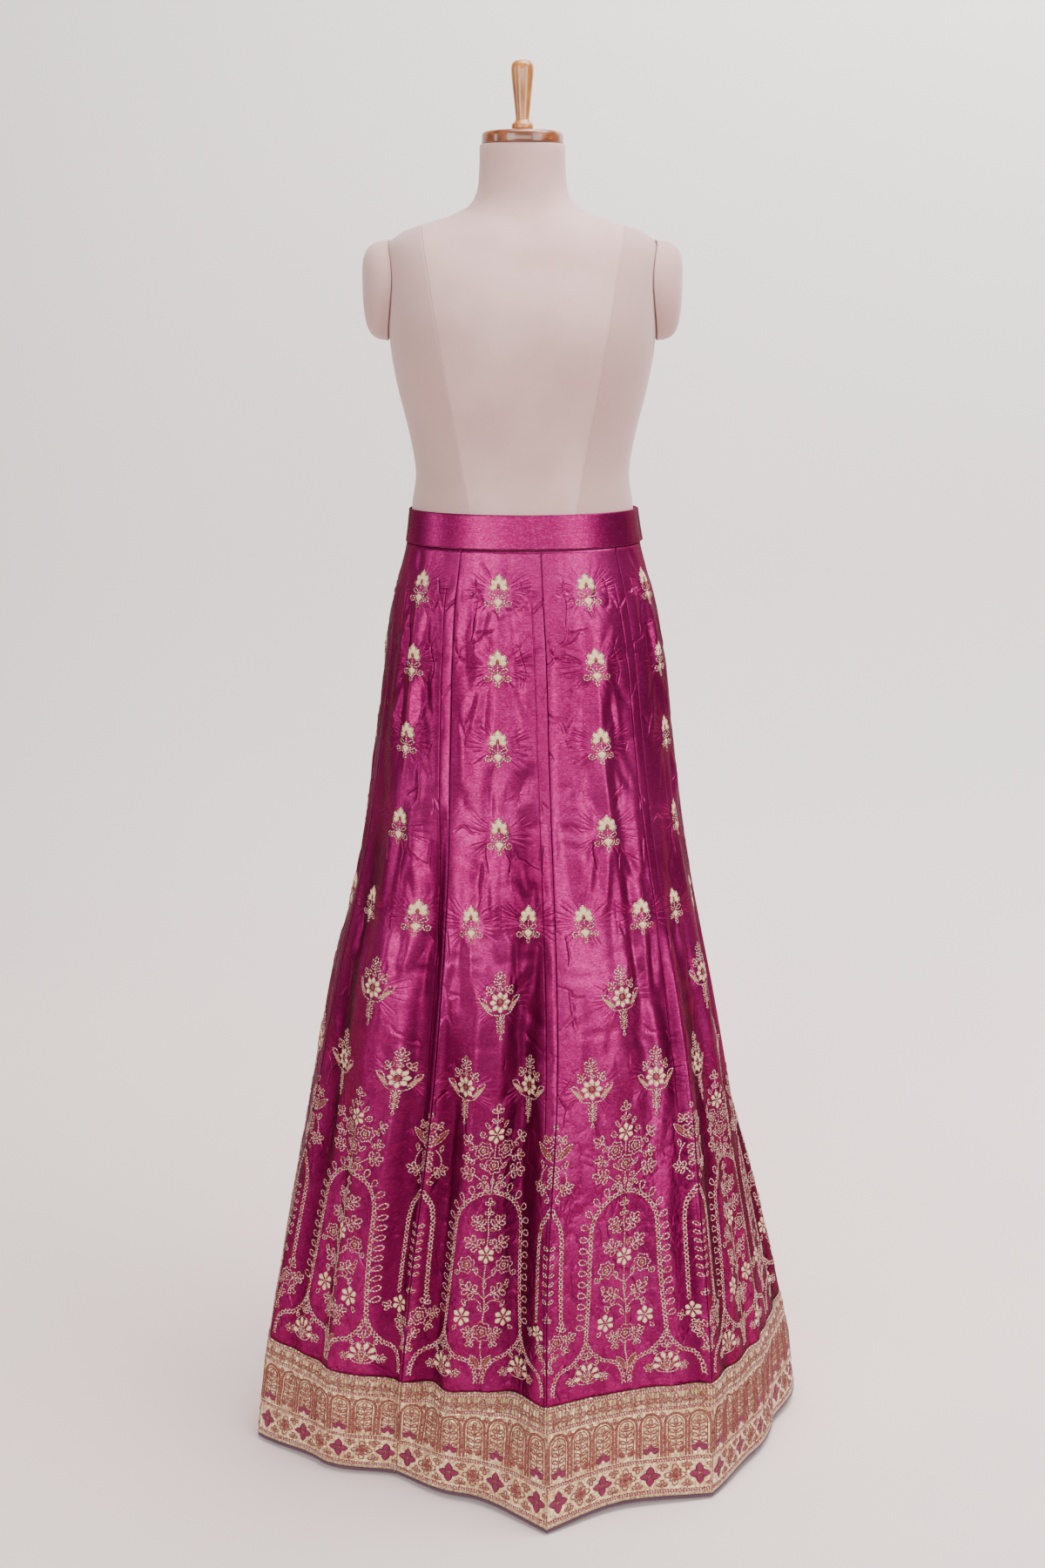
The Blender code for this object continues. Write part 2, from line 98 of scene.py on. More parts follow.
# Where each seam lies round the body, in degrees, and how far it stands out.
Seam = namedtuple(
    "Seam",
    "name turn_hip turn_thigh turn_knee turn_hem out_thigh out_knee out_hem crisp border lift",
)
SEAMS = table(
    Seam,
    ("centre", 8.2, 9.8, 3.5, 2.5, 0.004, 0.012, 0.013, 1.0, 0.148, 0.002),
    ("right", 50.5, 51.8, 43.0, 39.2, 0.003, 0.003, -0.006, 0.9, 0.139, 0.002),
    ("right_side", 91.0, 90.0, 85.5, 81.0, -0.001, -0.022, -0.033, 0.3, 0.134, 0.006),
    ("back_right", 132.0, 131.0, 128.0, 124.0, 0.002, 0.010, 0.012, 0.8, 0.137, 0.004),
    ("back_mid_right", 168.5, 168.0, 166.0, 163.5, -0.001, -0.018, -0.030, 0.3, 0.138, 0.003),
    ("back_mid_left", 203.5, 204.0, 202.0, 200.5, 0.003, 0.012, 0.014, 0.9, 0.139, 0.002),
    ("back_left", 241.0, 242.0, 241.0, 240.0, -0.001, -0.018, -0.028, 0.4, 0.136, 0.004),
    ("left_side", 284.0, 284.0, 283.5, 283.5, 0.001, 0.005, 0.011, 0.7, 0.130, 0.003),
    ("left", 328.8, 335.0, 329.3, 323.8, -0.002, -0.030, -0.070, 0.2, 0.127, 0.004),
)
Panel = namedtuple("Panel", "out_thigh out_knee out_hem lift")
PANELS = table(
    Panel,
    (-0.003, -0.015, -0.027, 0.006),
    (-0.003, -0.018, -0.030, 0.006),
    (0.001, 0.006, 0.006, 0.012),
    (-0.001, -0.009, -0.012, 0.004),
    (0.000, 0.000, -0.004, 0.006),
    (-0.002, -0.010, -0.014, 0.005),
    (0.001, -0.001, -0.006, 0.006),
    (-0.001, -0.015, -0.030, 0.005),
    (-0.004, -0.028, -0.049, 0.006),
)
GORES = range(len(SEAMS))

# The largest folds: troughs that run down the cloth. A minus is a ridge.
Fold = namedtuple("Fold", "top foot turn_top turn_foot half_width depth")
FOLDS = table(
    Fold,
    (0.74, 0.06, 1.5, -5.5, 7.0, 0.017),
    (0.58, 0.03, -18.0, -27.0, 6.5, 0.011),
    (0.50, 0.10, -55.0, -60.0, 7.0, 0.008),
    (0.88, 0.30, 40.0, 36.0, 5.0, 0.005),
    (0.70, 0.05, 66.0, 62.0, 7.5, 0.009),
    (0.62, 0.08, 101.0, 97.0, 6.5, 0.008),
    (0.66, 0.04, 148.0, 145.0, 8.0, 0.013),
    (0.52, 0.03, 186.0, 184.0, 7.0, 0.011),
    (0.72, 0.08, 222.0, 220.0, 7.5, 0.014),
    (0.55, 0.05, 262.0, 264.0, 7.0, 0.009),
    (0.60, 0.12, -35.0, -47.0, 5.0, -0.005),
    (0.64, 0.12, 116.0, 112.0, 6.0, -0.005),
)
FOLD_RISE = 0.40
FOLD_FADE = 0.18

# ======== the form's sizes
FormRing = namedtuple("FormRing", "height half_width half_front half_back roundness")
FORM_BELOW_BAND = table(
    FormRing,
    (0.790, 0.1180, 0.0860, 0.0920, 2.0),
    (0.794, 0.1300, 0.0960, 0.1020, 2.0),
    (0.808, 0.1390, 0.1035, 0.1090, 2.0),
    (0.850, 0.1475, 0.1105, 0.1175, 2.0),
    (0.920, 0.1515, 0.1145, 0.1220, 2.0),
    (0.980, 0.1470, 0.1100, 0.1165, 2.0),
    (1.040, 0.1360, 0.1010, 0.1060, 2.0),
)
FORM_ABOVE_BAND = table(
    FormRing,
    (1.160, 0.1215, 0.0895, 0.0900, 2.0),
    (1.205, 0.1285, 0.0950, 0.0905, 2.1),
    (1.250, 0.1395, 0.1075, 0.0930, 2.2),
    (1.290, 0.1470, 0.1165, 0.0960, 2.3),
    (1.330, 0.1505, 0.1140, 0.0985, 2.4),
    (1.370, 0.1520, 0.1010, 0.0985, 2.4),
    (1.400, 0.1520, 0.0860, 0.0935, 2.3),
    (1.416, 0.1470, 0.0740, 0.0850, 2.2),
    (1.426, 0.1330, 0.0660, 0.0760, 2.1),
    (1.434, 0.1100, 0.0590, 0.0680, 2.0),
    (1.442, 0.0820, 0.0530, 0.0610, 2.0),
    (1.452, 0.0610, 0.0490, 0.0550, 2.0),
    (1.468, 0.0510, 0.0460, 0.0510, 2.0),
    (1.492, 0.0480, 0.0445, 0.0490, 2.0),
    (1.519, 0.0475, 0.0440, 0.0480, 2.0),
)
SEAT_HEIGHTS = (1.072, 1.082, 1.096, 1.110, 1.120, 1.128)

CAP_HEIGHT = 1.3620
CAP_HALF_HEIGHT = 0.0545
CAP_HALF_DEPTH = 0.0480
CAP_SEAT = 0.0010
CAP_DOME = 0.0260
CAP_SHIFT_Y = 0.003
# Rows of a shoulder cover, by their spread and their rise: the flat back and the
# welt round its edge, and then the dome.
CAP_WELT = (
    (0.15, 0.0), (0.60, 0.0), (0.97, 0.0), (0.985, 0.02), (1.012, 0.05), (1.016, 0.10), (0.999, 0.15),
)
CAP_DOME_ROWS = (
    (0.97, 0.0), (1.00, 0.18), (0.98, 0.46), (0.90, 0.72), (0.73, 0.90), (0.43, 0.98), (0.14, 1.00),
)
NECK_TOP = 1.519
DISC_HEIGHT = 0.0135
DISC_PROFILE = (
    (0.0440, 0.0000), (0.0452, 0.0012), (0.0452, 0.0080),
    (0.0444, 0.0110), (0.0425, 0.0128), (0.0395, 0.0135),
)
HANDLE_PROFILE = (
    (0.0088, 0.0000), (0.0114, 0.0018), (0.0122, 0.0045), (0.0116, 0.0075), (0.0090, 0.0100),
    (0.0077, 0.0122), (0.0078, 0.0160), (0.0092, 0.0300), (0.0110, 0.0460), (0.0124, 0.0600),
    (0.0126, 0.0665), (0.0116, 0.0710), (0.0088, 0.0738), (0.0045, 0.0750),
)


# ======== curves
def smooth_step(amount):
    """0 below 0, 1 above 1, and an easy S between them."""
    amount = np.clip(amount, 0.0, 1.0)
    return amount * amount * (3.0 - 2.0 * amount)


def curve_through(places, values, place):
    """A smooth curve through the values of a table whose places fall."""
    places = np.asarray(places, float)
    values = np.asarray(values, float)
    last = len(places) - 1
    held = np.clip(np.asarray(place, float), places[last], places[0])
    row = np.clip(np.searchsorted(-places, -held, side="left") - 1, 0, last - 1)
    low = np.maximum(np.arange(last + 1) - 1, 0)
    high = np.minimum(np.arange(last + 1) + 1, last)
    spread = (1,) * (values.ndim - 1)
    slopes = (values[high] - values[low]) / (places[high] - places[low]).reshape((-1,) + spread)
    step = places[row + 1] - places[row]
    t = ((held - places[row]) / step).reshape(np.shape(held) + spread)
    step = step.reshape(np.shape(held) + spread)
    return (
        values[row] * (1.0 + 2.0 * t) * (1.0 - t) ** 2
        + values[row + 1] * t * t * (3.0 - 2.0 * t)
        + slopes[row] * step * t * (1.0 - t) ** 2
        - slopes[row + 1] * step * t * t * (1.0 - t)
    )


def level_value(row, name, height):
    """A table value that is given at the thigh, knee and hem, and 0 at the hip."""
    values = [0.0] + [getattr(row, name + level) for level in ("_thigh", "_knee", "_hem")]
    return curve_through(LEVELS, values, height)


def seam_turn(index, height):
    """Where a seam lies round the body. The first one comes again at 360."""
    lap, index = divmod(index, len(SEAMS))
    seam = SEAMS[index]
    values = (seam.turn_hip, seam.turn_thigh, seam.turn_knee, seam.turn_hem)
    return curve_through(LEVELS, values, height) + 360.0 * lap


def blend_across(index, share, start_value, middle_value, end_value):
    """Goes from a seam's value to the gore's middle and on to the next seam."""
    half = np.clip(1.0 - np.abs(2.0 * share - 1.0), 0.0, 1.0)
    first = share <= 0.5
    crisp = np.where(first, SEAMS[index].crisp, SEAMS[(index + 1) % len(SEAMS)].crisp)
    ease = crisp * np.sin(0.5 * math.pi * half) + (1.0 - crisp) * smooth_step(half)
    edge = np.where(first, start_value, end_value)
    return edge + (middle_value - edge) * ease


def fold_depth(turn, height):
    """How far the large folds move the cloth here. A trough is a minus."""
    moved = np.zeros(np.broadcast(turn, height).shape)
    for fold in FOLDS:
        run = (fold.top - height) / (fold.top - fold.foot)
        middle = fold.turn_top + (fold.turn_foot - fold.turn_top) * run
        away = (turn - middle + 180.0) % 360.0 - 180.0
        inside = (run > 0.0) & (run < 1.0) & (np.abs(away) < fold.half_width)
        strength = smooth_step(run / FOLD_RISE) * smooth_step((1.0 - run) / FOLD_FADE)
        bell = np.cos(0.5 * math.pi * np.clip(away / fold.half_width, -1.0, 1.0)) ** 2
        moved = moved - np.where(inside, fold.depth * strength * bell, 0.0)
    return moved


# ======== the skirt's surface
RING_PLACES = [ring.height for ring in RINGS]
RING_VALUES = [ring[1:] for ring in RINGS]


def stack(x, y, z):
    """Joins three arrays of coordinates into points."""
    return np.stack(np.broadcast_arrays(x, y, z), axis=-1)


def ring_point(turn, height):
    """A point on the plain ring, and the ring's outward direction there."""
    sizes = curve_through(RING_PLACES, RING_VALUES, height)
    half_width, half_front, half_back, centre_x, centre_y = np.moveaxis(sizes, -1, 0)
    sine, cosine = np.sin(np.radians(turn)), np.cos(np.radians(turn))
    depth = np.where(cosine > 0.0, half_front, half_back)
    place = stack(centre_x + half_width * sine, centre_y - depth * cosine, height)
    outward = stack(depth * sine, -half_width * cosine, 0.0 * turn)
    return place, outward / np.linalg.norm(outward, axis=-1, keepdims=True)


def skirt_point(index, turn, height):
    """The outer face of one gore's cloth before its creases, and the way out of it."""
    place, outward = ring_point(turn, height)
    start, end = seam_turn(index, height), seam_turn(index + 1, height)
    stand_out = blend_across(
        index, (turn - start) / (end - start),
        level_value(SEAMS[index], "out", height),
        level_value(PANELS[index], "out", height),
        level_value(SEAMS[(index + 1) % len(SEAMS)], "out", height),
    )
    return place + outward * (stand_out + fold_depth(turn, height))[..., None], outward


class GoreMap:
    """Measures across one gore along its cloth, so that thread work keeps its width."""

    STEPS = 96
    HEIGHTS = 110

    def __init__(self, index):
        self.index = index
        self.heights = np.linspace(0.0, BAND_FOOT, self.HEIGHTS)
        shares = np.linspace(0.0, 1.0, self.STEPS + 1)
        height = np.repeat(self.heights[:, None], len(shares), axis=1)
        start, end = seam_turn(index, height), seam_turn(index + 1, height)
        point, _ = skirt_point(index, start + (end - start) * shares, height)
        run = np.linalg.norm(np.diff(point, axis=1), axis=-1).cumsum(axis=1)
        run = np.concatenate([np.zeros((len(run), 1)), run], axis=1)
        self.widths = run[:, -1]
        self.shares = np.stack([np.interp(shares, row / row[-1], shares) for row in run])

    def width(self, height):
        """The width of the cloth at a height."""
        return np.interp(height, self.heights, self.widths)

    def turn(self, across, height):
        """The turn at a share of the cloth's width across the gore."""
        row = np.interp(height, self.heights, np.arange(self.HEIGHTS))
        row = np.clip(row, 0, self.HEIGHTS - 1.001)
        column = np.clip(across, 0.0, 1.0) * (self.STEPS - 0.0001)
        share = read_grid(self.shares, row, column)
        start, end = seam_turn(self.index, height), seam_turn(self.index + 1, height)
        return start + (end - start) * share


def read_grid(grid, row, column):
    """Reads between the corners of a grid."""
    top = np.floor(row).astype(int)
    left = np.floor(column).astype(int)
    down, along = row - top, column - left
    if grid.ndim > 2:
        down, along = down[..., None], along[..., None]
    upper = grid[top, left] * (1.0 - along) + grid[top, left + 1] * along
    lower = grid[top + 1, left] * (1.0 - along) + grid[top + 1, left + 1] * along
    return upper * (1.0 - down) + lower * down


def hem_height(index, share):
    """The height of the skirt's lower edge off the floor."""
    return blend_across(
        index, share, SEAMS[index].lift, PANELS[index].lift, SEAMS[(index + 1) % len(SEAMS)].lift,
    )


def border_top(index, share):
    """The height at which the gold border is sewn to the gore."""
    start, end = SEAMS[index], SEAMS[(index + 1) % len(SEAMS)]
    return start.border + (end.border - start.border) * share


GORE_MAPS = [GoreMap(index) for index in GORES]
PLAIN_HEIGHTS = GORE_MAPS[0].heights
PLAIN_WIDTHS = np.mean([gore.widths for gore in GORE_MAPS], axis=0)


def plain_width(height):
    """The width of the plain gore that the thread work is drawn on."""
    return np.interp(height, PLAIN_HEIGHTS, PLAIN_WIDTHS)


# ======== creases
# A crease runs from one place on a gore to another: x from the gore's middle
# as a share of half its width there, z the height, both ends given. width and
# depth are in millimetres, and a minus depth is a ridge. bend bows it.
Crease = namedtuple("Crease", "x z end_x end_z width depth bend")

# Folds that hang from the hip between and below the small motifs.
HANGING = {
    0: table(
        Crease,
        (-0.55, 1.02, -0.38, 0.80, 9.0, 1.5, 0.05),
        (0.30, 0.86, 0.52, 0.70, 11.0, 2.4, 0.06),
        (0.05, 0.85, 0.12, 0.74, 7.0, -1.6, 0.00),
        (-0.25, 0.84, -0.42, 0.68, 8.0, 1.4, -0.05),
        (0.62, 1.00, 0.36, 0.90, 8.0, -1.5, 0.12),
        (0.55, 0.93, 0.92, 0.80, 9.0, 1.7, 0.08),
        (-0.75, 0.78, -0.30, 0.62, 12.0, 1.6, 0.06),
        (0.10, 0.75, -0.05, 0.60, 9.0, 1.8, 0.03),
        (0.48, 0.72, 0.55, 0.56, 8.0, -1.4, 0.02),
        (0.72, 0.66, 0.88, 0.50, 10.0, 2.0, 0.05),
        (-0.62, 0.60, -0.70, 0.47, 8.0, 1.3, 0.00),
    ),
    1: table(
        Crease,
        (-0.50, 1.03, -0.65, 0.82, 8.0, 1.6, -0.04),
        (0.10, 0.98, 0.30, 0.74, 10.0, 2.0, 0.05),
        (-0.20, 0.85, -0.10, 0.66, 9.0, -1.5, 0.03),
        (-0.55, 0.78, -0.75, 0.58, 10.0, 2.2, -0.04),
        (0.45, 0.80, 0.20, 0.60, 9.0, 1.6, -0.06),
        (0.70, 0.70, 0.80, 0.50, 8.0, 1.4, 0.02),
    ),
    8: table(
        Crease,
        (-0.12, 0.845, -0.16, 0.745, 6.0, 2.6, 0.02),
        (0.16, 0.84, 0.20, 0.77, 7.0, -1.9, 0.02),
        (0.72, 0.85, 0.34, 0.775, 10.0, 2.4, 0.10),
        (0.50, 0.80, 0.62, 0.66, 13.0, 2.8, 0.03),
        (-0.42, 0.76, -0.52, 0.64, 12.0, 2.6, -0.03),
        (-0.18, 0.76, -0.06, 0.66, 9.0, -1.8, 0.04),
        (-0.65, 1.03, -0.45, 0.90, 9.0, 1.3, 0.05),
        (0.35, 1.04, 0.52, 0.90, 8.0, 1.2, 0.04),
        (-0.72, 0.92, -0.60, 0.80, 9.0, -1.2, 0.04),
        (0.10, 0.68, 0.05, 0.58, 11.0, 1.7, 0.02),
        (0.62, 0.64, 0.80, 0.50, 12.0, 2.6, 0.02),
        (-0.65, 0.63, -0.62, 0.50, 10.0, 2.0, -0.05),
        (-0.30, 0.60, -0.22, 0.52, 8.0, -1.2, 0.00),
    ),
    7: table(
        Crease,
        (-0.62, 1.02, -0.60, 0.78, 12.0, 2.0, 0.05),
        (-0.10, 0.99, 0.18, 0.80, 10.0, 1.8, 0.08),
        (0.42, 0.96, 0.72, 0.80, 9.0, 1.8, 0.06),
        (0.30, 0.85, 0.42, 0.70, 9.0, -1.8, 0.02),
        (0.05, 0.84, 0.02, 0.66, 11.0, 2.6, 0.00),
        (0.62, 0.76, 0.46, 0.58, 12.0, 2.2, -0.05),
        (-0.35, 0.80, -0.40, 0.60, 13.0, 2.4, 0.02),
        (0.78, 0.66, 0.70, 0.48, 9.0, 1.8, 0.03),
        (0.15, 0.66, 0.22, 0.52, 9.0, -1.5, 0.02),
    ),
}
# Broad soft falls that run down the flare, in the same terms.
FALLS = {
    0: table(
        Crease,
        (-0.20, 0.62, -0.12, 0.10, 21.0, -3.0, 0.02),
        (0.36, 0.66, 0.42, 0.06, 20.0, 3.4, 0.02),
        (0.86, 0.66, 0.86, 0.03, 18.0, 6.5, 0.00),
        (-0.70, 1.00, -0.62, 0.62, 12.0, 1.8, 0.02),
        (0.20, 1.02, 0.28, 0.72, 14.0, -1.6, 0.03),
    ),
    1: table(
        Crease,
        (-0.66, 0.70, -0.60, 0.04, 17.0, 6.0, 0.00),
        (0.06, 0.70, 0.08, 0.06, 16.0, -3.6, 0.01),
        (0.66, 0.70, 0.64, 0.04, 17.0, 5.0, 0.00),
    ),
    8: table(
        Crease,
        (0.50, 0.84, 0.50, 0.02, 27.0, 8.0, 0.00),
        (-0.34, 0.66, -0.42, 0.05, 16.0, -3.8, 0.01),
        (-0.80, 0.62, -0.76, 0.03, 22.0, 8.0, 0.00),
        (0.02, 0.60, 0.04, 0.08, 12.0, 3.2, 0.00),
        (-0.30, 1.02, -0.20, 0.76, 14.0, -1.8, 0.03),
    ),
    7: table(
        Crease,
        (0.84, 0.80, 0.82, 0.03, 22.0, 8.0, 0.00),
        (0.16, 0.74, 0.12, 0.05, 18.0, -3.8, 0.01),
        (-0.66, 0.86, -0.62, 0.04, 17.0, 6.0, 0.00),
        (0.34, 1.02, 0.40, 0.76, 13.0, 2.0, 0.02),
    ),
}
# The hidden gores hang much as these do, some of them the other way round.
HANGS_LIKE = {2: (8, -1), 3: (0, 1), 4: (7, -1), 5: (1, 1), 6: (0, -1)}

# Soft folds that the weight of each motif pulls in the cloth below and above
# it, as creases in millimetres from the motif's middle.
BUTI_PULLS = table(
    Crease,
    (-10, -13, -15, -92, 5.5, 2.3, 0.03),
    (-1, -17, -4, -84, 5.0, -1.7, -0.02),
    (10, -14, 17, -82, 5.0, 2.0, -0.04),
    (-16, -7, -36, -66, 5.0, 1.5, -0.06),
    (-15, -24, -25, -80, 4.5, -1.1, 0.00),
    (17, -8, 40, -58, 5.0, 1.6, 0.07),
    (19, -26, 28, -76, 4.5, -1.2, 0.00),
    (-8, 16, -17, 52, 4.5, 1.2, 0.05),
    (9, 17, 22, 48, 4.5, 1.1, -0.05),
    (13, 2, 52, 16, 4.0, 1.0, 0.05),
    (-13, 0, -50, 9, 4.0, 1.0, -0.06),
)
FLOWER_PULLS = table(
    Crease,
    (-13, -26, -22, -84, 6.0, 1.7, 0.04),
    (12, -24, 24, -80, 5.5, 1.5, -0.04),
    (0, -44, 3, -92, 5.5, -1.2, 0.00),
    (-24, -3, -58, -34, 5.0, 1.4, -0.06),
    (24, -3, 60, -26, 5.0, 1.5, 0.06),
    (-16, 16, -42, 44, 4.5, 1.1, 0.05),
    (17, 18, 38, 50, 4.5, -1.0, -0.05),
)

# Where the repeated motifs lie on every gore: a share of half the width, and
# the height.
BUTI_PLACES = (
    (-0.52, 0.672), (0.52, 0.672), (0.0, 0.770), (0.0, 0.867), (0.0, 0.954), (0.0, 1.036),
)
FLOWER_PLACES = ((-0.51, 0.489), (0.51, 0.489), (0.0, 0.586))

# Wandering creases between the motifs, the same kind on every gore but in
# other places: x share, height, length and turn from level, width and depth.
Stray = namedtuple("Stray", "x z length turn width depth")
STRAYS = table(
    Stray,
    (-0.45, 0.925, 30, 24, 2.4, 0.8),
    (0.48, 0.905, 36, -18, 2.6, 0.9),
    (-0.62, 0.815, 34, -32, 2.4, -0.8),
    (0.55, 0.735, 42, 28, 3.0, 1.0),
    (-0.15, 0.722, 30, -12, 2.4, 0.8),
    (-0.70, 0.700, 38, 15, 2.6, 0.9),
    (0.12, 0.640, 52, 10, 3.0, 1.1),
    (-0.58, 0.615, 56, -14, 3.4, 1.2),
    (0.66, 0.600, 44, 20, 2.8, -0.9),
    (-0.20, 0.540, 46, 8, 2.8, 1.0),
    (0.36, 0.535, 62, -10, 3.2, 1.2),
    (-0.80, 0.530, 40, -28, 2.6, 0.9),
    (0.82, 0.455, 46, 12, 3.0, 1.0),
    (-0.80, 0.430, 38, -8, 2.6, 1.0),
    (0.00, 0.505, 34, 35, 2.4, -0.8),
    (0.60, 0.812, 28, 40, 2.2, 0.8),
    (0.20, 0.998, 30, -30, 2.6, 0.8),
    (-0.55, 1.000, 34, 22, 2.4, -0.7),
    (-0.40, 0.385, 30, 18, 2.4, 0.7),
    (0.55, 0.395, 34, -22, 2.6, 0.8),
)


# How sharp each kind of crease is, from 0, a round trough, to 1, a pinched line.
FALL_SHARP = 0.0
HANGING_SHARP = 0.35
PULL_SHARP = 0.42
STRAY_SHARP = 0.6

CREASE_GAIN = 1.25
PINCH = 1.6
END_TAPER = 0.6
PULL_WIDTH = 1.15
PULL_DEPTH = 0.95
# How much the pulls round one motif differ from those round the next: their lean in
# millimetres, their reach and depth as shares. Motifs near a seam pull less far across.
PULL_LEAN = 5.0
PULL_REACH = 0.22
PULL_FORCE = 0.35
SIDE_REACH = 0.7
STRAY_BEND = 0.10
STRAY_SHIFT = 0.016
STRAY_TURN = 8.0


def add_crease(depth, x, z, start, end, width, deep, bend, sharp):
    """Adds one crease to a field of depths. Places and sizes are in metres."""
    run_x, run_z = end[0] - start[0], end[1] - start[1]
    length = math.hypot(run_x, run_z)
    along = ((x - start[0]) * run_x + (z - start[1]) * run_z) / length ** 2
    off = ((x - start[0]) * run_z - (z - start[1]) * run_x) / length
    middle = 4.0 * along * (1.0 - along)
    off = off - bend * length * middle
    near = np.abs(off) / width
    soft = np.exp(-near ** 2)
    pinched = np.exp(-PINCH * near)
    taper = np.where((along > 0.0) & (along < 1.0), np.clip(middle, 0.0, 1.0) ** END_TAPER, 0.0)
    depth -= CREASE_GAIN * deep * taper * (soft * (1.0 - sharp) + pinched * sharp)


def add_listed(depth, index, x, z, creases, sharp):
    """Adds the creases that are listed for this gore, or for the one that it hangs like."""
    source, side = HANGS_LIKE.get(index, (index, 1))
    for row in creases[source]:
        start = (side * row.x * 0.5 * plain_width(row.z), row.z)
        end = (side * row.end_x * 0.5 * plain_width(row.end_z), row.end_z)
        add_crease(
            depth, x, z, start, end, row.width * MM, row.depth * MM, side * row.bend, sharp,
        )


def add_pulls(depth, index, x, height, places, pulls):
    """Adds the folds round one kind of motif. Some motifs have none, and the others vary."""
    for number, (share, z) in enumerate(places):
        if (number * 3 + index * 7) % 5 == 0:
            continue
        middle_x = share * 0.5 * plain_width(z)
        across = 1.0 if share == 0.0 else SIDE_REACH
        hand = -1 if (index + number) % 2 else 1
        for count, pull in enumerate(pulls):
            lean = PULL_LEAN * math.sin(count * 2.1 + number * 1.3 + index * 2.9)
            reach = 1.0 + PULL_REACH * math.sin(count * 1.7 + number * 2.3 + index * 1.1)
            force = 1.0 + PULL_FORCE * math.sin(count * 2.9 + number * 1.9 + index * 2.3)
            start = (middle_x + hand * pull.x * MM, z + pull.z * MM)
            end = (
                middle_x + hand * (pull.end_x * across + lean) * MM,
                z + (pull.z + (pull.end_z - pull.z) * reach) * MM,
            )
            add_crease(
                depth, x, height, start, end, PULL_WIDTH * pull.width * MM,
                PULL_DEPTH * pull.depth * force * MM, hand * pull.bend, PULL_SHARP,
            )


def add_strays(depth, index, x, height):
    """Adds the wandering creases, moved and turned a little on each gore."""
    for count, stray in enumerate(STRAYS):
        hand = -1 if (index + count // 3) % 2 else 1
        turn = math.radians(hand * stray.turn + STRAY_TURN * math.sin(index * 3.3 + count))
        half = 0.5 * stray.length * MM
        middle_x = hand * stray.x * 0.5 * plain_width(stray.z)
        middle_z = stray.z + STRAY_SHIFT * math.sin(count * 2.7 + index * 4.1)
        start = (middle_x - half * math.cos(turn), middle_z - half * math.sin(turn))
        end = (middle_x + half * math.cos(turn), middle_z + half * math.sin(turn))
        add_crease(
            depth, x, height, start, end, stray.width * MM, stray.depth * MM,
            STRAY_BEND * math.sin(count * 1.9 + index * 0.7), STRAY_SHARP,
        )


def fall_depth(index, x, height):
    """The broad falls of one gore and its border. A trough is a minus."""
    depth = np.zeros_like(x)
    add_listed(depth, index, x, height, FALLS, FALL_SHARP)
    return depth


def crease_depth(index, across, height, width):
    """All the small folds of one gore. A trough is a minus."""
    x = (across - 0.5) * width
    depth = np.zeros_like(x)
    add_listed(depth, index, x, height, HANGING, HANGING_SHARP)
    add_pulls(depth, index, x, height, BUTI_PLACES, BUTI_PULLS)
    add_pulls(depth, index, x, height, FLOWER_PLACES, FLOWER_PULLS)
    add_strays(depth, index, x, height)
    return depth


def ripple(x, z, phase):
    """Small uneven waves that a stitched cloth has all over."""
    return (
        np.sin(x * 210.0 + 1.7 * np.sin(z * 95.0 + phase) + phase)
        * np.sin(z * 178.0 + 1.9 * np.sin(x * 120.0 - phase))
        + 0.6 * np.sin(x * 395.0 + z * 260.0 + 2.0 * np.sin(z * 150.0 + 2.0 * phase))
    )


# ======== making meshes
def new_corners(made):
    """The corners that an operator added."""
    return [item for item in made["geom"] if isinstance(item, bmesh.types.BMVert)]


def to_data(shape, name):
    """Turns a bmesh into mesh data."""
    data = bpy.data.meshes.new(name)
    shape.to_mesh(data)
    shape.free()
    return data


def read_corners(data):
    """The places of a mesh's corners."""
    place = np.empty(3 * len(data.vertices))
    data.vertices.foreach_get("co", place)
    return place.reshape(-1, 3)


def write_corners(data, place):
    """Moves a mesh's corners to these places."""
    data.vertices.foreach_set("co", np.asarray(place, float).ravel())
    data.update()


def piece(name, data, finish, slot, *nodes):
    """A finished piece of the object, which rides with the one body."""
    data.name = name
    data.materials.append(finish)
    data.shade_smooth()
    made = bpy.data.objects.new(name, data)
    bpy.context.scene.collection.objects.link(made)
    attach(made, "root")
    if nodes:
        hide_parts(*nodes)
    return made


def thicken(made, wall):
    """Gives a sheet its thickness, inwards from the face that shows."""
    solid = made.modifiers.new("cloth", "SOLIDIFY")
    solid.thickness = wall
    solid.offset = -1.0


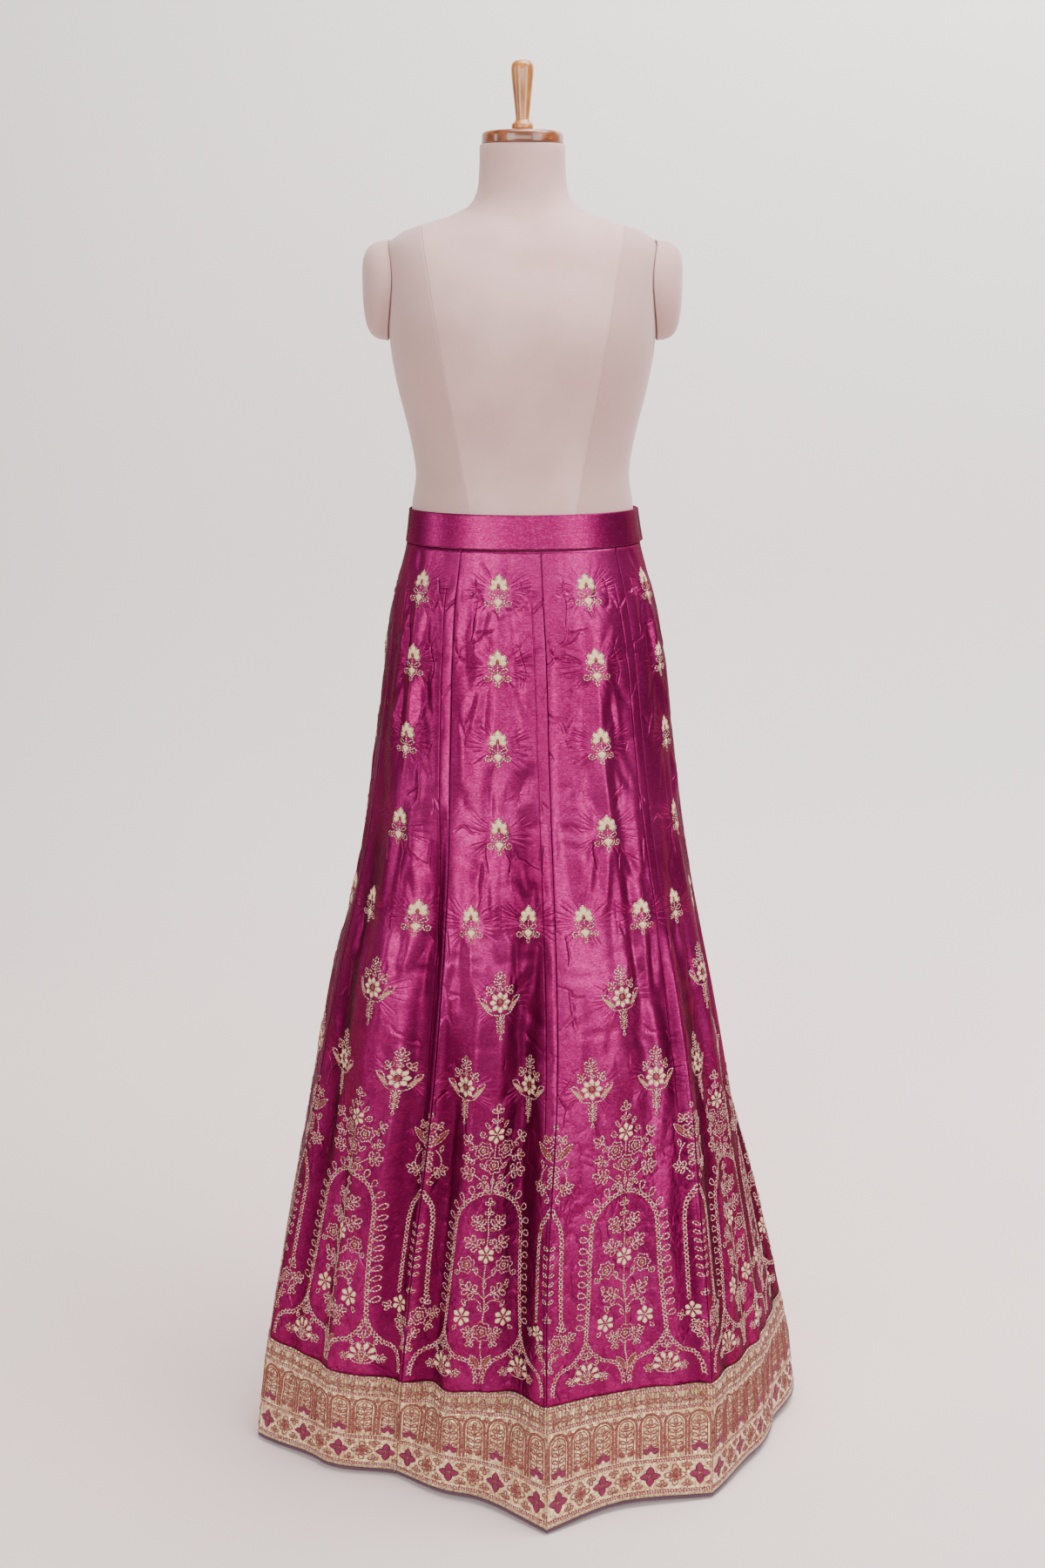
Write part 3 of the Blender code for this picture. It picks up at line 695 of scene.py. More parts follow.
class Cloth:
    """A grid of cloth points whose columns and rows may be uneven.

    cut is where each point lies on the flat cut piece, and marks are the vectors
    that the finishes read.
    """

    def __init__(self, columns, rows, points, cut, marks):
        self.columns = columns
        self.rows = rows
        self.points = points
        self.cut = cut
        self.marks = marks
        across = np.gradient(points, axis=1)
        down = np.gradient(points, axis=0)
        normals = np.cross(down, across)
        self.normals = normals / np.linalg.norm(normals, axis=-1, keepdims=True)

    def at(self, across, down):
        """The point and the outward direction at a share across and a share down."""
        column = np.interp(across, self.columns, np.arange(len(self.columns)))
        row = np.interp(down, self.rows, np.arange(len(self.rows)))
        column = np.clip(column, 0, len(self.columns) - 1.0001)
        row = np.clip(row, 0, len(self.rows) - 1.0001)
        return read_grid(self.points, row, column), read_grid(self.normals, row, column)

    def mesh(self, name, tuck):
        """A sheet on the grid, with its four edges turned in as a hem allowance."""
        rows, columns = self.points.shape[:2]
        shape = bmesh.new()
        layers = {
            shape.verts.layers.float_vector.new(mark): grid for mark, grid in self.marks.items()
        }
        cut = shape.loops.layers.uv.new("cut")
        bmesh.ops.create_grid(shape, x_segments=columns - 1, y_segments=rows - 1, size=0.5)
        sites = {}
        for corner in shape.verts:
            row = round((0.5 - corner.co.y) * (rows - 1))
            column = round((corner.co.x + 0.5) * (columns - 1))
            sites[corner] = (row, column)
        for corner, site in sites.items():
            corner.co = self.points[site]
        if tuck > 0.0:
            rim = [edge for edge in shape.edges if edge.is_boundary]
            grown = bmesh.ops.extrude_edge_only(shape, edges=rim)
            turned_in = {}
            for corner in new_corners(grown):
                beside = [edge.other_vert(corner) for edge in corner.link_edges]
                site = next(sites[other] for other in beside if other in sites)
                corner.co = self.points[site] - tuck * self.normals[site]
                turned_in[corner] = site
            sites.update(turned_in)
        for corner, site in sites.items():
            for layer, grid in layers.items():
                corner[layer] = grid[site]
            for loop in corner.link_loops:
                loop[cut].uv = self.cut[site]
        return to_data(shape, name)


# ======== flat thread work
UP = 1j
BEAD = 2.3
CORD_WIDTH = 1.04
CORD_SINK = -0.10
PATCH_SINK = 0.08
LOOP_TIP = 0.35
# A chain's two cords, this far apart, cross twice in each pitch.
CHAIN_SPREAD = 4.3
CHAIN_PITCH = 10.0
CHAIN_STEP = 1.15
PICOT_STANDS_OFF = 3.0
PICOT_LEAN = 14.0
PICOT_LONG = 10.5
PICOT_WIDE = 7.4
# The rings of a rose: a share of its radius, the scallops, how deep and where they start.
ROSE_RINGS = ((1.05, 7, 0.20, 0.0), (0.60, 5, 0.20, 0.7), (0.22, 3, 0.10, 0.2))

# Kinds of silk, as shares of cream, maroon and rust. Metal thread is none of them.
METAL = (0.0, 0.0, 0.0)
CREAM = (1.0, 0.0, 0.0)
MAROON = (0.0, 1.0, 0.0)
RUST = (0.0, 0.0, 1.0)
COPPER = (0.0, 0.0, 0.85)
BORDER_COPPER = (0.0, 0.0, 0.60)
BEAD_COPPER = (0.0, 0.0, 0.25)
HORN_SILK = (0.30, 0.0, 0.70)


def way(turn):
    """A direction on the flat cloth, 0 straight up and growing to the right."""
    return UP * np.exp(-1j * math.radians(turn))


def path_run(path):
    """The length along a path up to each of its points."""
    return np.concatenate([[0.0], np.abs(np.diff(path)).cumsum()])


def path_at(path, run, along):
    """Places on a path, given as lengths along it."""
    return np.interp(along, run, path.real) + 1j * np.interp(along, run, path.imag)


def unit(headings):
    """Directions, each of them one long."""
    return headings / np.maximum(np.abs(headings), 1e-6)


def ring_path(middle, radius, steps):
    """A whole circle round a middle."""
    return middle + radius * np.exp(1j * np.linspace(0.0, math.tau, steps))


class Needle:
    """Draws thread on flat cloth, in millimetres from its own middle.

    Places are complex numbers, x + y * 1j. at() gives a needle that is moved,
    turned, sized or mirrored from this one. plain is the silk of its cords.
    """

    def __init__(self, shape, place=lambda spot: spot, scale=1.0, plain=METAL):
        self.shape = shape
        self.place = place
        self.scale = scale
        self.plain = plain

    def at(self, x, y, turn=0.0, size=1.0, flip=False):
        spin = size * np.exp(-1j * math.radians(turn))
        middle = complex(x, y)

        def place(spot):
            spot = -np.conj(spot) if flip else spot
            return self.place(middle + spin * spot)
        return Needle(self.shape, place, self.scale * size, self.plain)

    def lay(self, sites, kind):
        """Writes where each new corner lies: its place, its rise and its way along the thread."""
        layer = self.shape.verts.layers.float_vector["thread"]
        silk = self.shape.verts.layers.float_vector["silk"]
        for corner, spot, rise, along, over in sites:
            corner.co = (spot.real * MM, spot.imag * MM, rise * MM)
            corner[layer] = (along, over, 0.0)
            corner[silk] = kind

    def cord(self, path, width=2.0, rise=0.75, kind=None, step=1.9, bead=0.0):
        """A raised round cord along a path. It thickens with the root of the needle's scale."""
        path = self.place(np.asarray(path, complex))
        width, rise = CORD_WIDTH * width * self.scale ** 0.5, rise * self.scale ** 0.5
        run = path_run(path)
        count = max(4, round(run[-1] / step))
        along = np.linspace(0.0, run[-1], count + 1)
        spots = path_at(path, run, along)
        heading = np.gradient(spots)
        if abs(spots[0] - spots[-1]) < 0.2:
            heading[0] = heading[-1] = (spots[1] - spots[0]) + (spots[-1] - spots[-2])
        heading = unit(heading)
        grown = bmesh.ops.create_grid(self.shape, x_segments=count, y_segments=2, size=0.5)
        sites = []
        for corner in grown["verts"]:
            station = round((corner.co.x + 0.5) * count)
            side = round(2.0 * corner.co.y)
            swell = 1.0 + bead * math.cos(math.tau * along[station] / BEAD)
            spot = spots[station] + 1j * heading[station] * 0.5 * width * side * swell
            lift = CORD_SINK if side else rise * swell
            sites.append((corner, spot, lift, along[station], side))
        self.lay(sites, kind or self.plain)

    def stem(self, *points, width=1.4, rise=0.5, steps=4):
        """A cord on a smooth path through a few given points."""
        self.cord(curve(points, steps), width=width, rise=rise)

    def petal(self, x, y, turn, length, width, rise=0.9, kind=CREAM, point=0.8):
        """A domed patch of satin stitch, from its base to its tip."""
        head = way(turn)
        grown = bmesh.ops.create_grid(self.shape, x_segments=5, y_segments=4, size=0.5)
        sites = []
        for corner in grown["verts"]:
            along, side = corner.co.x + 0.5, 2.0 * corner.co.y
            swell = 0.10 + 0.90 * math.sin(math.pi * along ** point) ** 0.75
            spot = complex(x, y) + head * (length * along - 1j * 0.5 * width * side * swell)
            dome = (1.0 - side * side) * (0.35 + 0.65 * math.sin(math.pi * along))
            sites.append((corner, self.place(spot), rise * dome - PATCH_SINK, along * length, side))
        self.lay(sites, kind)

    def loop(self, x, y, turn, length=7.0, width=4.6, cord=1.6):
        """A drop-shaped outline that starts and ends at its base."""
        lap = np.linspace(0.0, math.tau, 15)
        swell = (0.5 - 0.5 * np.cos(lap)) ** LOOP_TIP
        path = length * (0.5 - 0.5 * np.cos(lap)) - 1j * 0.5 * width * np.sin(lap) * swell
        self.cord(complex(x, y) + way(turn) * path, width=cord, rise=0.6)

    def leaf(self, x, y, turn, length, width):
        """A pointed leaf, outlined and filled with satin stitch."""
        self.petal(x, y, turn, length, 0.72 * width, rise=0.5, kind=RUST, point=1.0)
        lap = np.linspace(0.0, 1.0, 9)
        for side in (-1.0, 1.0):
            edge = length * lap - 1j * side * 0.5 * width * np.sin(math.pi * lap) ** 0.8
            self.cord(complex(x, y) + way(turn) * edge, width=1.3, rise=0.55)

    def curl(self, x, y, turn, size, hand=1):
        """A cord that rolls up into a snail."""
        lap = np.linspace(0.0, 1.0, 22)
        radius = size * (1.0 - 0.78 * lap)
        angle = hand * (math.pi + lap * 1.45 * math.tau)
        centre = complex(x, y) + way(turn) * size
        path = centre + way(turn) * radius * np.exp(-1j * angle)
        self.cord(path, width=1.5, rise=0.6)

    def rose(self, x, y, radius):
        """A round flower of scalloped rings."""
        self.petal(x, y - 0.5 * radius, 0, radius, 0.9 * radius, rise=0.35, kind=RUST, point=1.0)
        for share, lobes, depth, start in ROSE_RINGS:
            lap = np.linspace(0.0, math.tau, max(10, round(30 * share)))
            wave = share * radius * (1.0 - depth + depth * 1.6 * np.abs(np.cos(0.5 * lobes * lap)))
            ring = complex(x, y) + wave * np.exp(1j * (lap + start))
            self.cord(ring, width=1.45, rise=0.75, step=1.5)

    def blossom(self, x, y, radius, petals=6, spread=360.0, wide=0.66, start=0.25):
        """Satin petals round a middle of cord. wide and start are shares of the radius."""
        for count in range(petals):
            angle = spread * (count / petals if spread == 360.0 else count / (petals - 1) - 0.5)
            foot = complex(x, y) + way(angle) * start * radius
            self.petal(
                foot.real, foot.imag, angle, (1.06 - start) * radius, wide * radius, rise=1.1, point=1.55,
            )
        self.cord(ring_path(complex(x, y), 0.17 * radius, 9), width=1.2, rise=1.0, step=1.2)

    def sprig(self, x, y, turn, size=1.0):
        """Three loops on a short stem."""
        spray = self.at(x, y, turn, size)
        spray.cord([0, 2j, 4j], width=1.3, rise=0.5)
        spray.loop(0, 4.6, 0, 7.0, 4.4)
        spray.loop(0.3, 3.6, 62, 6.0, 4.2)
        spray.loop(-0.3, 3.6, -62, 6.0, 4.2)

    def frond(self, x, y, turn, size=1.0):
        """Five loops on a stem."""
        spray = self.at(x, y, turn, size)
        spray.cord([0, 4j, 9.5j], width=1.3, rise=0.5)
        spray.loop(0, 9.0, 0, 7.2, 4.6)
        for side in (-1, 1):
            spray.loop(0.3 * side, 8.0, 58 * side, 6.6, 4.4)
            spray.loop(0.3 * side, 3.2, 74 * side, 6.2, 4.2)

    def chain(self, path):
        """A band of two cords that cross, like links."""
        path = np.asarray(path, complex)
        run = path_run(path)
        along = np.linspace(0.0, run[-1], max(8, round(run[-1] / CHAIN_STEP)))
        path = path_at(path, run, along)
        heading = unit(np.gradient(path))
        wave = np.sin(math.tau * along / CHAIN_PITCH)
        wave = np.sign(wave) * np.abs(wave) ** 0.7
        for side in (-0.5, 0.5):
            self.cord(path + 1j * heading * CHAIN_SPREAD * side * wave, width=1.7, rise=0.8, step=1.3)

    def picots(self, path, pitch):
        """Loops that stand out of a path, evenly spaced."""
        path = np.asarray(path, complex)
        run = path_run(path)
        count = max(2, round(run[-1] / pitch))
        for step in range(count):
            place = run[-1] * (step + 0.5) / count
            back, spot, ahead = path_at(path, run, np.array([place - 1.0, place, place + 1.0]))
            out = -1j * (ahead - back) / abs(ahead - back)
            turn = math.degrees(math.atan2(out.real, out.imag))
            foot = spot + out * PICOT_STANDS_OFF
            self.loop(foot.real, foot.imag, turn - PICOT_LEAN, PICOT_LONG, PICOT_WIDE)


def curve(points, steps=8):
    """A smooth path through a few given points."""
    points = [complex(*point) for point in points]
    padded = [2 * points[0] - points[1]] + points + [2 * points[-1] - points[-2]]
    path = []
    for before, here, there, after in zip(padded, padded[1:], padded[2:], padded[3:]):
        for t in np.arange(steps) / steps:
            path.append(0.5 * (
                2 * here + (there - before) * t
                + (2 * before - 5 * here + 4 * there - after) * t * t
                + (3 * here - before - 3 * there + after) * t ** 3
            ))
    return np.array(path + [points[-1]])


def arc(x, y, width, height, start, end, steps=24):
    """Part of an ellipse, from one turn to another, 0 straight up."""
    lap = np.radians(np.linspace(start, end, steps))
    return complex(x, y) + width * np.sin(lap) + 1j * height * np.cos(lap)


def mirrored(needle):
    """The needle and its mirror image in its own upright."""
    return needle, needle.at(0, 0, flip=True)


# -------- the motifs
# The petals of a palmette: their turn, length, width and bluntness.
PALMETTE = (
    (-86, 7.8, 7.4, 1.4), (86, 7.8, 7.4, 1.4), (-40, 10.0, 7.6, 1.4), (40, 10.0, 7.6, 1.4),
    (0, 13.0, 8.4, 1.1),
)


def small_buti(needle):
    """A scalloped cream palmette over a cup, with two curls and a drop."""
    for turn, length, width, point in PALMETTE:
        foot = 4.8j + way(turn) * 1.2
        needle.petal(foot.real, foot.imag, turn, length, width, rise=1.0, point=point)
    scallops = curve([
        (0, 20.0), (3.3, 16.4), (4.3, 14.4), (7.4, 14.0), (8.4, 10.8), (7.8, 9.0), (10.2, 6.4),
        (8.8, 1.8), (4.0, 1.2),
    ], 4)
    needle.petal(0, 3.6, 0, 7.0, 4.6, rise=1.8, kind=RUST, point=1.0)
    needle.cord([4j, -1j, -6j], width=1.4, rise=1.0)
    needle.petal(0, -15.8, 0, 9.2, 11.0, rise=1.1, point=1.8)
    needle.loop(0, -15.6, 180, 6.0, 4.6, 1.5)
    for side in mirrored(needle):
        side.cord(scallops, width=0.9, rise=0.5)
        side.loop(1.6, -5.8, 62, 9.8, 5.0, 1.4)
        side.curl(6.4, -10.6, 100, 4.3, -1)
        side.stem((1.4, -16.6), (5.8, -12.4), (6.6, -7.4), rise=0.6, steps=5)


RING_RADIUS = 5.2


def ring_flower(needle):
    """A ringed cream flower between two horns, on a tapering tail."""
    for count in range(8):
        turn = count * 45.0
        foot = way(turn) * RING_RADIUS
        needle.petal(foot.real, foot.imag, turn, 6.8, 6.6, rise=1.1, point=0.80)
    needle.cord(ring_path(0, RING_RADIUS, 18), width=1.7, rise=0.9, step=1.4)
    needle.petal(0, -4.0, 0, 8.0, 7.0, rise=0.7, kind=RUST, point=1.0)
    for side in mirrored(needle):
        outer = ((2.5, -14.5), (11.0, -13.0), (18.0, -5.0), (24.0, 4.8))
        inner = ((9.5, -8.6), (13.5, -6.0), (15.5, 1.5), (19.0, 5.0), (24.0, 4.8))
        side.stem(*outer, width=1.5, rise=0.7, steps=7)
        side.stem(*inner, width=1.5, rise=0.7, steps=6)
        side.petal(9.5, -10.4, 48, 19.0, 6.0, rise=0.6, kind=HORN_SILK, point=0.8)
        side.sprig(6.5, 9.0, 44, 1.10)
        for row, length in enumerate((6.4, 6.0, 5.6, 5.0)):
            side.loop(0.6, -20.0 - 5.4 * row, 38, length, 3.8, 1.4)
    needle.sprig(0, 11.0, 0, 0.70)
    needle.frond(0, 17.5, 0, 1.12)
    needle.cord([-13j, -26j, -40j], width=1.6, rise=0.6)
    needle.loop(0, -38.5, 180, 6.0, 3.4, 1.4)


def lotus(needle):
    """A half-open cream flower with sprigs at its sides."""
    needle.blossom(0, -1.0, 15.5, petals=6, spread=190.0, wide=0.44, start=0.46)
    outline = arc(0, 1.0, 15.5, 15.0, -100, 100, 20)
    needle.cord(outline, width=0.9, rise=0.4)
    needle.leaf(0, -7.0, 0, 13.0, 7.0)
    needle.loop(0, -8.5, 0, 17.0, 9.6, 1.2)
    for side in mirrored(needle):
        side.leaf(0.8, -7.0, 44, 11.5, 5.0)
        side.stem((0, -9.5), (9.0, -8.5), (15.5, -3.0), rise=0.6, steps=6)
        side.frond(14.5, -4.5, 80, 0.82)
        side.curl(11.0, 12.5, 30, 3.2, -1)
    needle.sprig(0, 17.5, 0, 1.05)


def bouquet(needle):
    """A cream flower over three roses, with leafy sprays all round."""
    needle.blossom(0, 12.0, 9.6)
    needle.rose(-13.0, -5.5, 8.6)
    needle.rose(13.0, -5.5, 8.6)
    needle.rose(0, -23.0, 8.8)
    needle.cord([20j, 26j, 34j], width=1.3, rise=0.5)
    needle.sprig(0, 33.0, 0, 1.2)
    needle.cord([2j, -6j, -15j], width=1.4, rise=0.5)
    for side in mirrored(needle):
        side.loop(1.4, 26.0, 48, 6.4, 4.4)
        side.curl(11.0, 12.0, 70, 4.4, -1)
        side.loop(8.0, 19.0, 34, 9.5, 3.8)
        side.stem((20, -2), (26, 2), (30, 4), width=1.3)
        side.sprig(26, 3.0, 58, 1.25)
        side.loop(24.0, -0.5, 128, 6.0, 4.0)
        side.stem((17, -12), (24, -16), (31, -15), width=1.3)
        side.sprig(25, -15.0, 84, 1.15)
        side.loop(22.5, -15.5, 150, 6.4, 4.2)
        side.frond(19.0, -34.0, 78, 1.30)
        side.stem((3, -48), (10, -42), (20, -34))
        side.loop(9.5, -27.0, 42, 9.0, 4.0)
        side.loop(5.5, -38.0, 66, 7.2, 4.6)
        side.loop(12.5, -42.5, 150, 7.0, 4.4)
    needle.cord([-32j, -40j, -56j], width=1.5, rise=0.5)
    needle.loop(0, -46.0, 0, 7.4, 4.6)
    needle.loop(-4.5, -53.0, -12, 7.2, 4.4)
    needle.loop(4.5, -53.0, 12, 7.2, 4.4)


def flowering_tree(needle):
    """The plant inside a big arch. Its foot is at the gore's centre line."""
    needle.stem((0, 158), (1.5, 172), (-1.0, 190), (0, 200), width=1.8, rise=0.7, steps=8)
    for side in mirrored(needle):
        side.leaf(0.6, 166.0, 34, 20.0, 7.5)
        side.blossom(24.5, 226.0, 9.8)
        side.stem((3, 240), (10, 246), (20, 244), (23, 237), steps=6)
        side.loop(21.0, 238.0, 20, 8.5, 5.2)
        side.loop(30.5, 216.0, 140, 6.5, 4.6)
        side.frond(7.0, 206.0, 74, 1.08)
        side.sprig(8.5, 200.0, 122, 1.0)
        side.loop(2.0, 232.0, 30, 8.0, 4.6)
        side.stem((0, 246), (8, 254), (13, 258))
        side.frond(8.0, 252.0, 62, 1.36)
        side.loop(26.0, 262.0, 10, 7.0, 4.4)
        side.rose(22.0, 286.0, 8.6)
        side.stem((0, 268), (8, 274), (15, 281))
        side.loop(9.5, 274.0, 8, 8.6, 4.6)
        side.curl(30.0, 279.0, 118, 4.2, -1)
        side.frond(7.0, 305.0, 58, 1.36)
        side.loop(4.0, 309.0, 14, 6.5, 4.2)
        side.frond(4.5, 328.0, 46, 1.25)
        side.loop(2.2, 326.0, 84, 6.6, 4.4)
    needle.rose(0, 209.0, 10.0)
    needle.stem((0, 219), (1.2, 240), (-1.0, 262), (0, 288), width=1.8, rise=0.7, steps=8)
    needle.loop(0, 258.0, 0, 8.5, 4.8)
    needle.blossom(0, 297.0, 9.6)
    needle.stem((0, 307), (0.8, 322), (-0.5, 336), (0, 344), width=1.7, rise=0.6, steps=8)
    needle.sprig(0, 340.0, 0, 0.95)
    needle.sprig(0, 351.0, 0, 1.0)


def tulip(needle):
    """The tall flower over a narrow arch. Its middle is on the seam."""
    needle.loop(0, 24.0, 0, 7.5, 5.2)
    needle.cord([10j, 18j, 24j], width=1.4, rise=0.5)
    needle.rose(0, 0, 8.4)
    needle.cord([-9j, -30j, -58j], width=1.8, rise=0.6)
    for side in mirrored(needle):
        side.leaf(3.0, -9.0, 44, 24.0, 7.5)
        side.sprig(5.0, 9.0, 40, 1.0)
        side.loop(1.2, 12.0, 20, 8.0, 4.6)
        for row in range(4):
            side.loop(1.0, -14.0 - 6.2 * row, 140, 7.6, 4.4)
        side.stem((8, -14), (14, -24), (15, -34), (9, -42), (3, -50), steps=6)
        side.loop(13.5, -18.0, 8, 8.0, 4.6)
        side.frond(7.0, -43.0, 72, 1.12)
        side.loop(3.6, -50.0, 130, 6.6, 4.4)


def narrow_arch_plant(needle):
    """The row of loops and the low rose under a narrow arch, on the seam."""
    needle.cord([332j, 290j, 252j], width=1.4, rise=0.6)
    for row in range(7):
        for side in mirrored(needle):
            side.loop(1.0, 262.0 + 9.6 * row, 62, 6.6, 4.4)
    needle.sprig(0, 238.0, 0, 0.95)
    needle.blossom(-14.0, 224.0, 9.0)
    needle.rose(11.5, 215.0, 8.2)
    needle.sprig(14.5, 225.0, 24, 1.10)
    needle.frond(20.0, 214.0, 66, 1.05)
    needle.sprig(17.0, 206.0, 116, 1.05)
    needle.sprig(-23.0, 218.0, -70, 1.00)
    needle.frond(-8.0, 213.0, -152, 1.00)
    for side in mirrored(needle):
        side.loop(2.0, 205.0, 22, 8.0, 4.6)
        side.sprig(3.0, 196.0, 74, 1.0)
        side.loop(3.0, 186.0, 12, 9.0, 4.6)
        side.sprig(1.5, 176.0, 20, 0.9)


OGEE_PEAK = 206.0
OGEE_FOOT = 149.0
ARCH_TOP = 369.0
ARCH_SPRING = 326.0
ARCH_HALF = 40.0
NARROW_PEAK = 364.0
NARROW_HALF = 16.0


def ogee_side(x_peak, x_foot):
    """One side of a cusped arch, from its peak down to its foot."""
    span = x_foot - x_peak
    return curve([
        (x_peak, OGEE_PEAK), (x_peak + 0.16 * span, OGEE_PEAK - 13.5),
        (x_peak + 0.44 * span, OGEE_PEAK - 25.0), (x_peak + 0.60 * span, OGEE_PEAK - 27.0),
        (x_peak + 0.82 * span, OGEE_PEAK - 32.0), (x_peak + 0.96 * span, OGEE_PEAK - 44.0),
        (x_foot, OGEE_FOOT),
    ], 7)


def gore_work(needle):
    """All the thread work of one gore but what lies across its seams."""
    quarter = 0.25 * TO_MM * plain_width(OGEE_PEAK * MM)
    seam = 2.0 * quarter
    for side in mirrored(needle):
        side.chain(ogee_side(quarter, 3.4))
        side.chain(ogee_side(quarter, seam - 4.2))
        lotus(side.at(quarter, 165.0, size=0.98))
        arch = np.concatenate([
            curve([(quarter, OGEE_PEAK + 1.0), (ARCH_HALF + 3.5, 262.0), (ARCH_HALF, ARCH_SPRING)], 10),
            arc(0, ARCH_SPRING, ARCH_HALF, ARCH_TOP - ARCH_SPRING, 88, 2, 18),
        ])
        side.chain(arch)
        side.picots(arch[2:], 12.2)
    flowering_tree(needle)
    bouquet(needle.at(0, 423.0))
    for share, z in FLOWER_PLACES:
        ring_flower(needle.at(TO_MM * share * 0.5 * plain_width(z), TO_MM * z, size=0.98))
    for share, z in BUTI_PLACES:
        small_buti(needle.at(TO_MM * share * 0.5 * plain_width(z), TO_MM * z))


def seam_work(needle):
    """The thread work that a seam runs down the middle of."""
    for side in mirrored(needle):
        side.chain(np.concatenate([
            curve([(NARROW_HALF + 1.0, 236.0), (NARROW_HALF, 270.0), (NARROW_HALF - 1.0, 318.0)], 10),
            curve([(NARROW_HALF - 1.2, 326.0), (11.5, 343.0), (5.0, 355.0), (0.6, NARROW_PEAK)], 8),
        ]))
    narrow_arch_plant(needle)
    tulip(needle.at(0, 424.0))


def new_flat():
    """An empty bmesh whose corners can be marked as thread."""
    shape = bmesh.new()
    shape.verts.layers.float_vector.new("thread")
    shape.verts.layers.float_vector.new("silk")
    return shape


def flat_gore():
    """The thread work of the plain gore, as a flat mesh whose z is the rise."""
    shape = new_flat()
    gore_work(Needle(shape))
    for side in (-1, 1):
        half = new_flat()
        seam_work(Needle(half))
        bmesh.ops.bisect_plane(
            half, geom=half.verts[:] + half.edges[:] + half.faces[:], dist=1e-7,
            plane_co=(-side * 0.9 * MM, 0.0, 0.0), plane_no=(side, 0.0, 0.0), clear_outer=True,
        )
        for corner in half.verts:
            corner.co.x += side * 0.5 * float(plain_width(corner.co.y))
        part = to_data(half, "half")
        shape.from_mesh(part)
        bpy.data.meshes.remove(part)
    return to_data(shape, "flat_gore")


# -------- the gold border's work
BORDER_TALL = 139.0
BORDER_WIDE = TO_MM * float(plain_width(0.5 * BORDER_TALL * MM))
# Makes the border's cords this much heavier, before the root that cord() takes.
BORDER_SCALE = 1.6
FLOWERS = 7
TOP_SPRIGS = 12
BEAD_LINES = (0.045, 0.336, 0.806, 0.968)
FLOWER_LINE = 0.190
RUNGS = (56.0, 66.0, 76.0, 86.0)
# The leaves of the plant in a border arch: height, turn, length and width.
NICHE_LOOPS = ((89.0, 62, 7.4, 5.0), (81.0, 58, 8.0, 5.2), (73.0, 64, 8.0, 5.2), (65.0, 70, 7.6, 5.0))
# The petals of a border flower: their turn, length and width.
FLOWER_PETALS = ((0, 12.6, 10.4), (90, 11.6, 10.0), (180, 12.6, 10.4), (-90, 11.6, 10.0))


def beaded_line(needle, share):
    """A row of beads from seam to seam, at a share of the border's height."""
    ends = np.array([-0.5, 0.5]) * (BORDER_WIDE - 1.0) + 1j * share * BORDER_TALL
    needle.cord(ends, width=3.6, rise=0.8, step=1.55, bead=0.26, kind=BEAD_COPPER)


def four_petals(needle, x, y, dark):
    """A flower of four pointed petals, filled if it is dark and outlined if not."""
    for turn, length, width in FLOWER_PETALS:
        foot = complex(x, y) + way(turn)
        if dark:
            needle.petal(foot.real, foot.imag, turn, length, width, rise=0.9, kind=MAROON, point=0.7)
        else:
            needle.petal(foot.real, foot.imag, turn, length - 4.0, width - 5.0, rise=0.5, kind=COPPER)
            needle.loop(foot.real, foot.imag, turn, length, width - 2.0, 1.5)
            needle.loop(foot.real, foot.imag, turn + 45, length - 3.5, 4.0, 1.3)
    eye = ring_path(complex(x, y), 2.0, 8)
    needle.cord(eye, width=1.6, rise=1.1, step=1.4, kind=COPPER)


def border_arch(needle, x, dark):
    """A round-topped arch with a plant in it, standing on the middle line."""
    niche = needle.at(x, 0)
    for side, top, width in ((12.4, 13.5, 2.4), (8.9, 9.8, 1.0)):
        path = np.concatenate([
            [complex(-side, 51.0), complex(-side, 72.0)], arc(0, 92.0, side, top, -90, 90, 12),
            [complex(side, 72.0), complex(side, 51.0)],
        ])
        niche.cord(path, width=width, rise=0.8, kind=COPPER, step=2.8)
    niche.cord([57j, 94j], width=1.2, rise=0.4, step=4.0)
    niche.loop(0, 91.0, 0, 8.0, 5.2, 1.5)
    for hand in mirrored(niche):
        for y, turn, length, width in NICHE_LOOPS:
            hand.loop(0.6, y, turn, length, width, 1.5)
        if dark:
            hand.petal(0.8, 56.5, 58, 11.0, 8.6, rise=1.0, kind=MAROON, point=0.7)
        else:
            hand.petal(1.0, 56.5, 58, 9.0, 6.4, rise=0.8, kind=COPPER)
            hand.loop(1.0, 56.0, 58, 10.0, 7.4, 1.4)
    if dark:
        niche.petal(0, 58.0, 0, 10.5, 8.4, rise=1.0, kind=MAROON, point=0.7)
    niche.petal(0, 53.0, 0, 6.2, 7.0, rise=0.8, kind=CREAM)


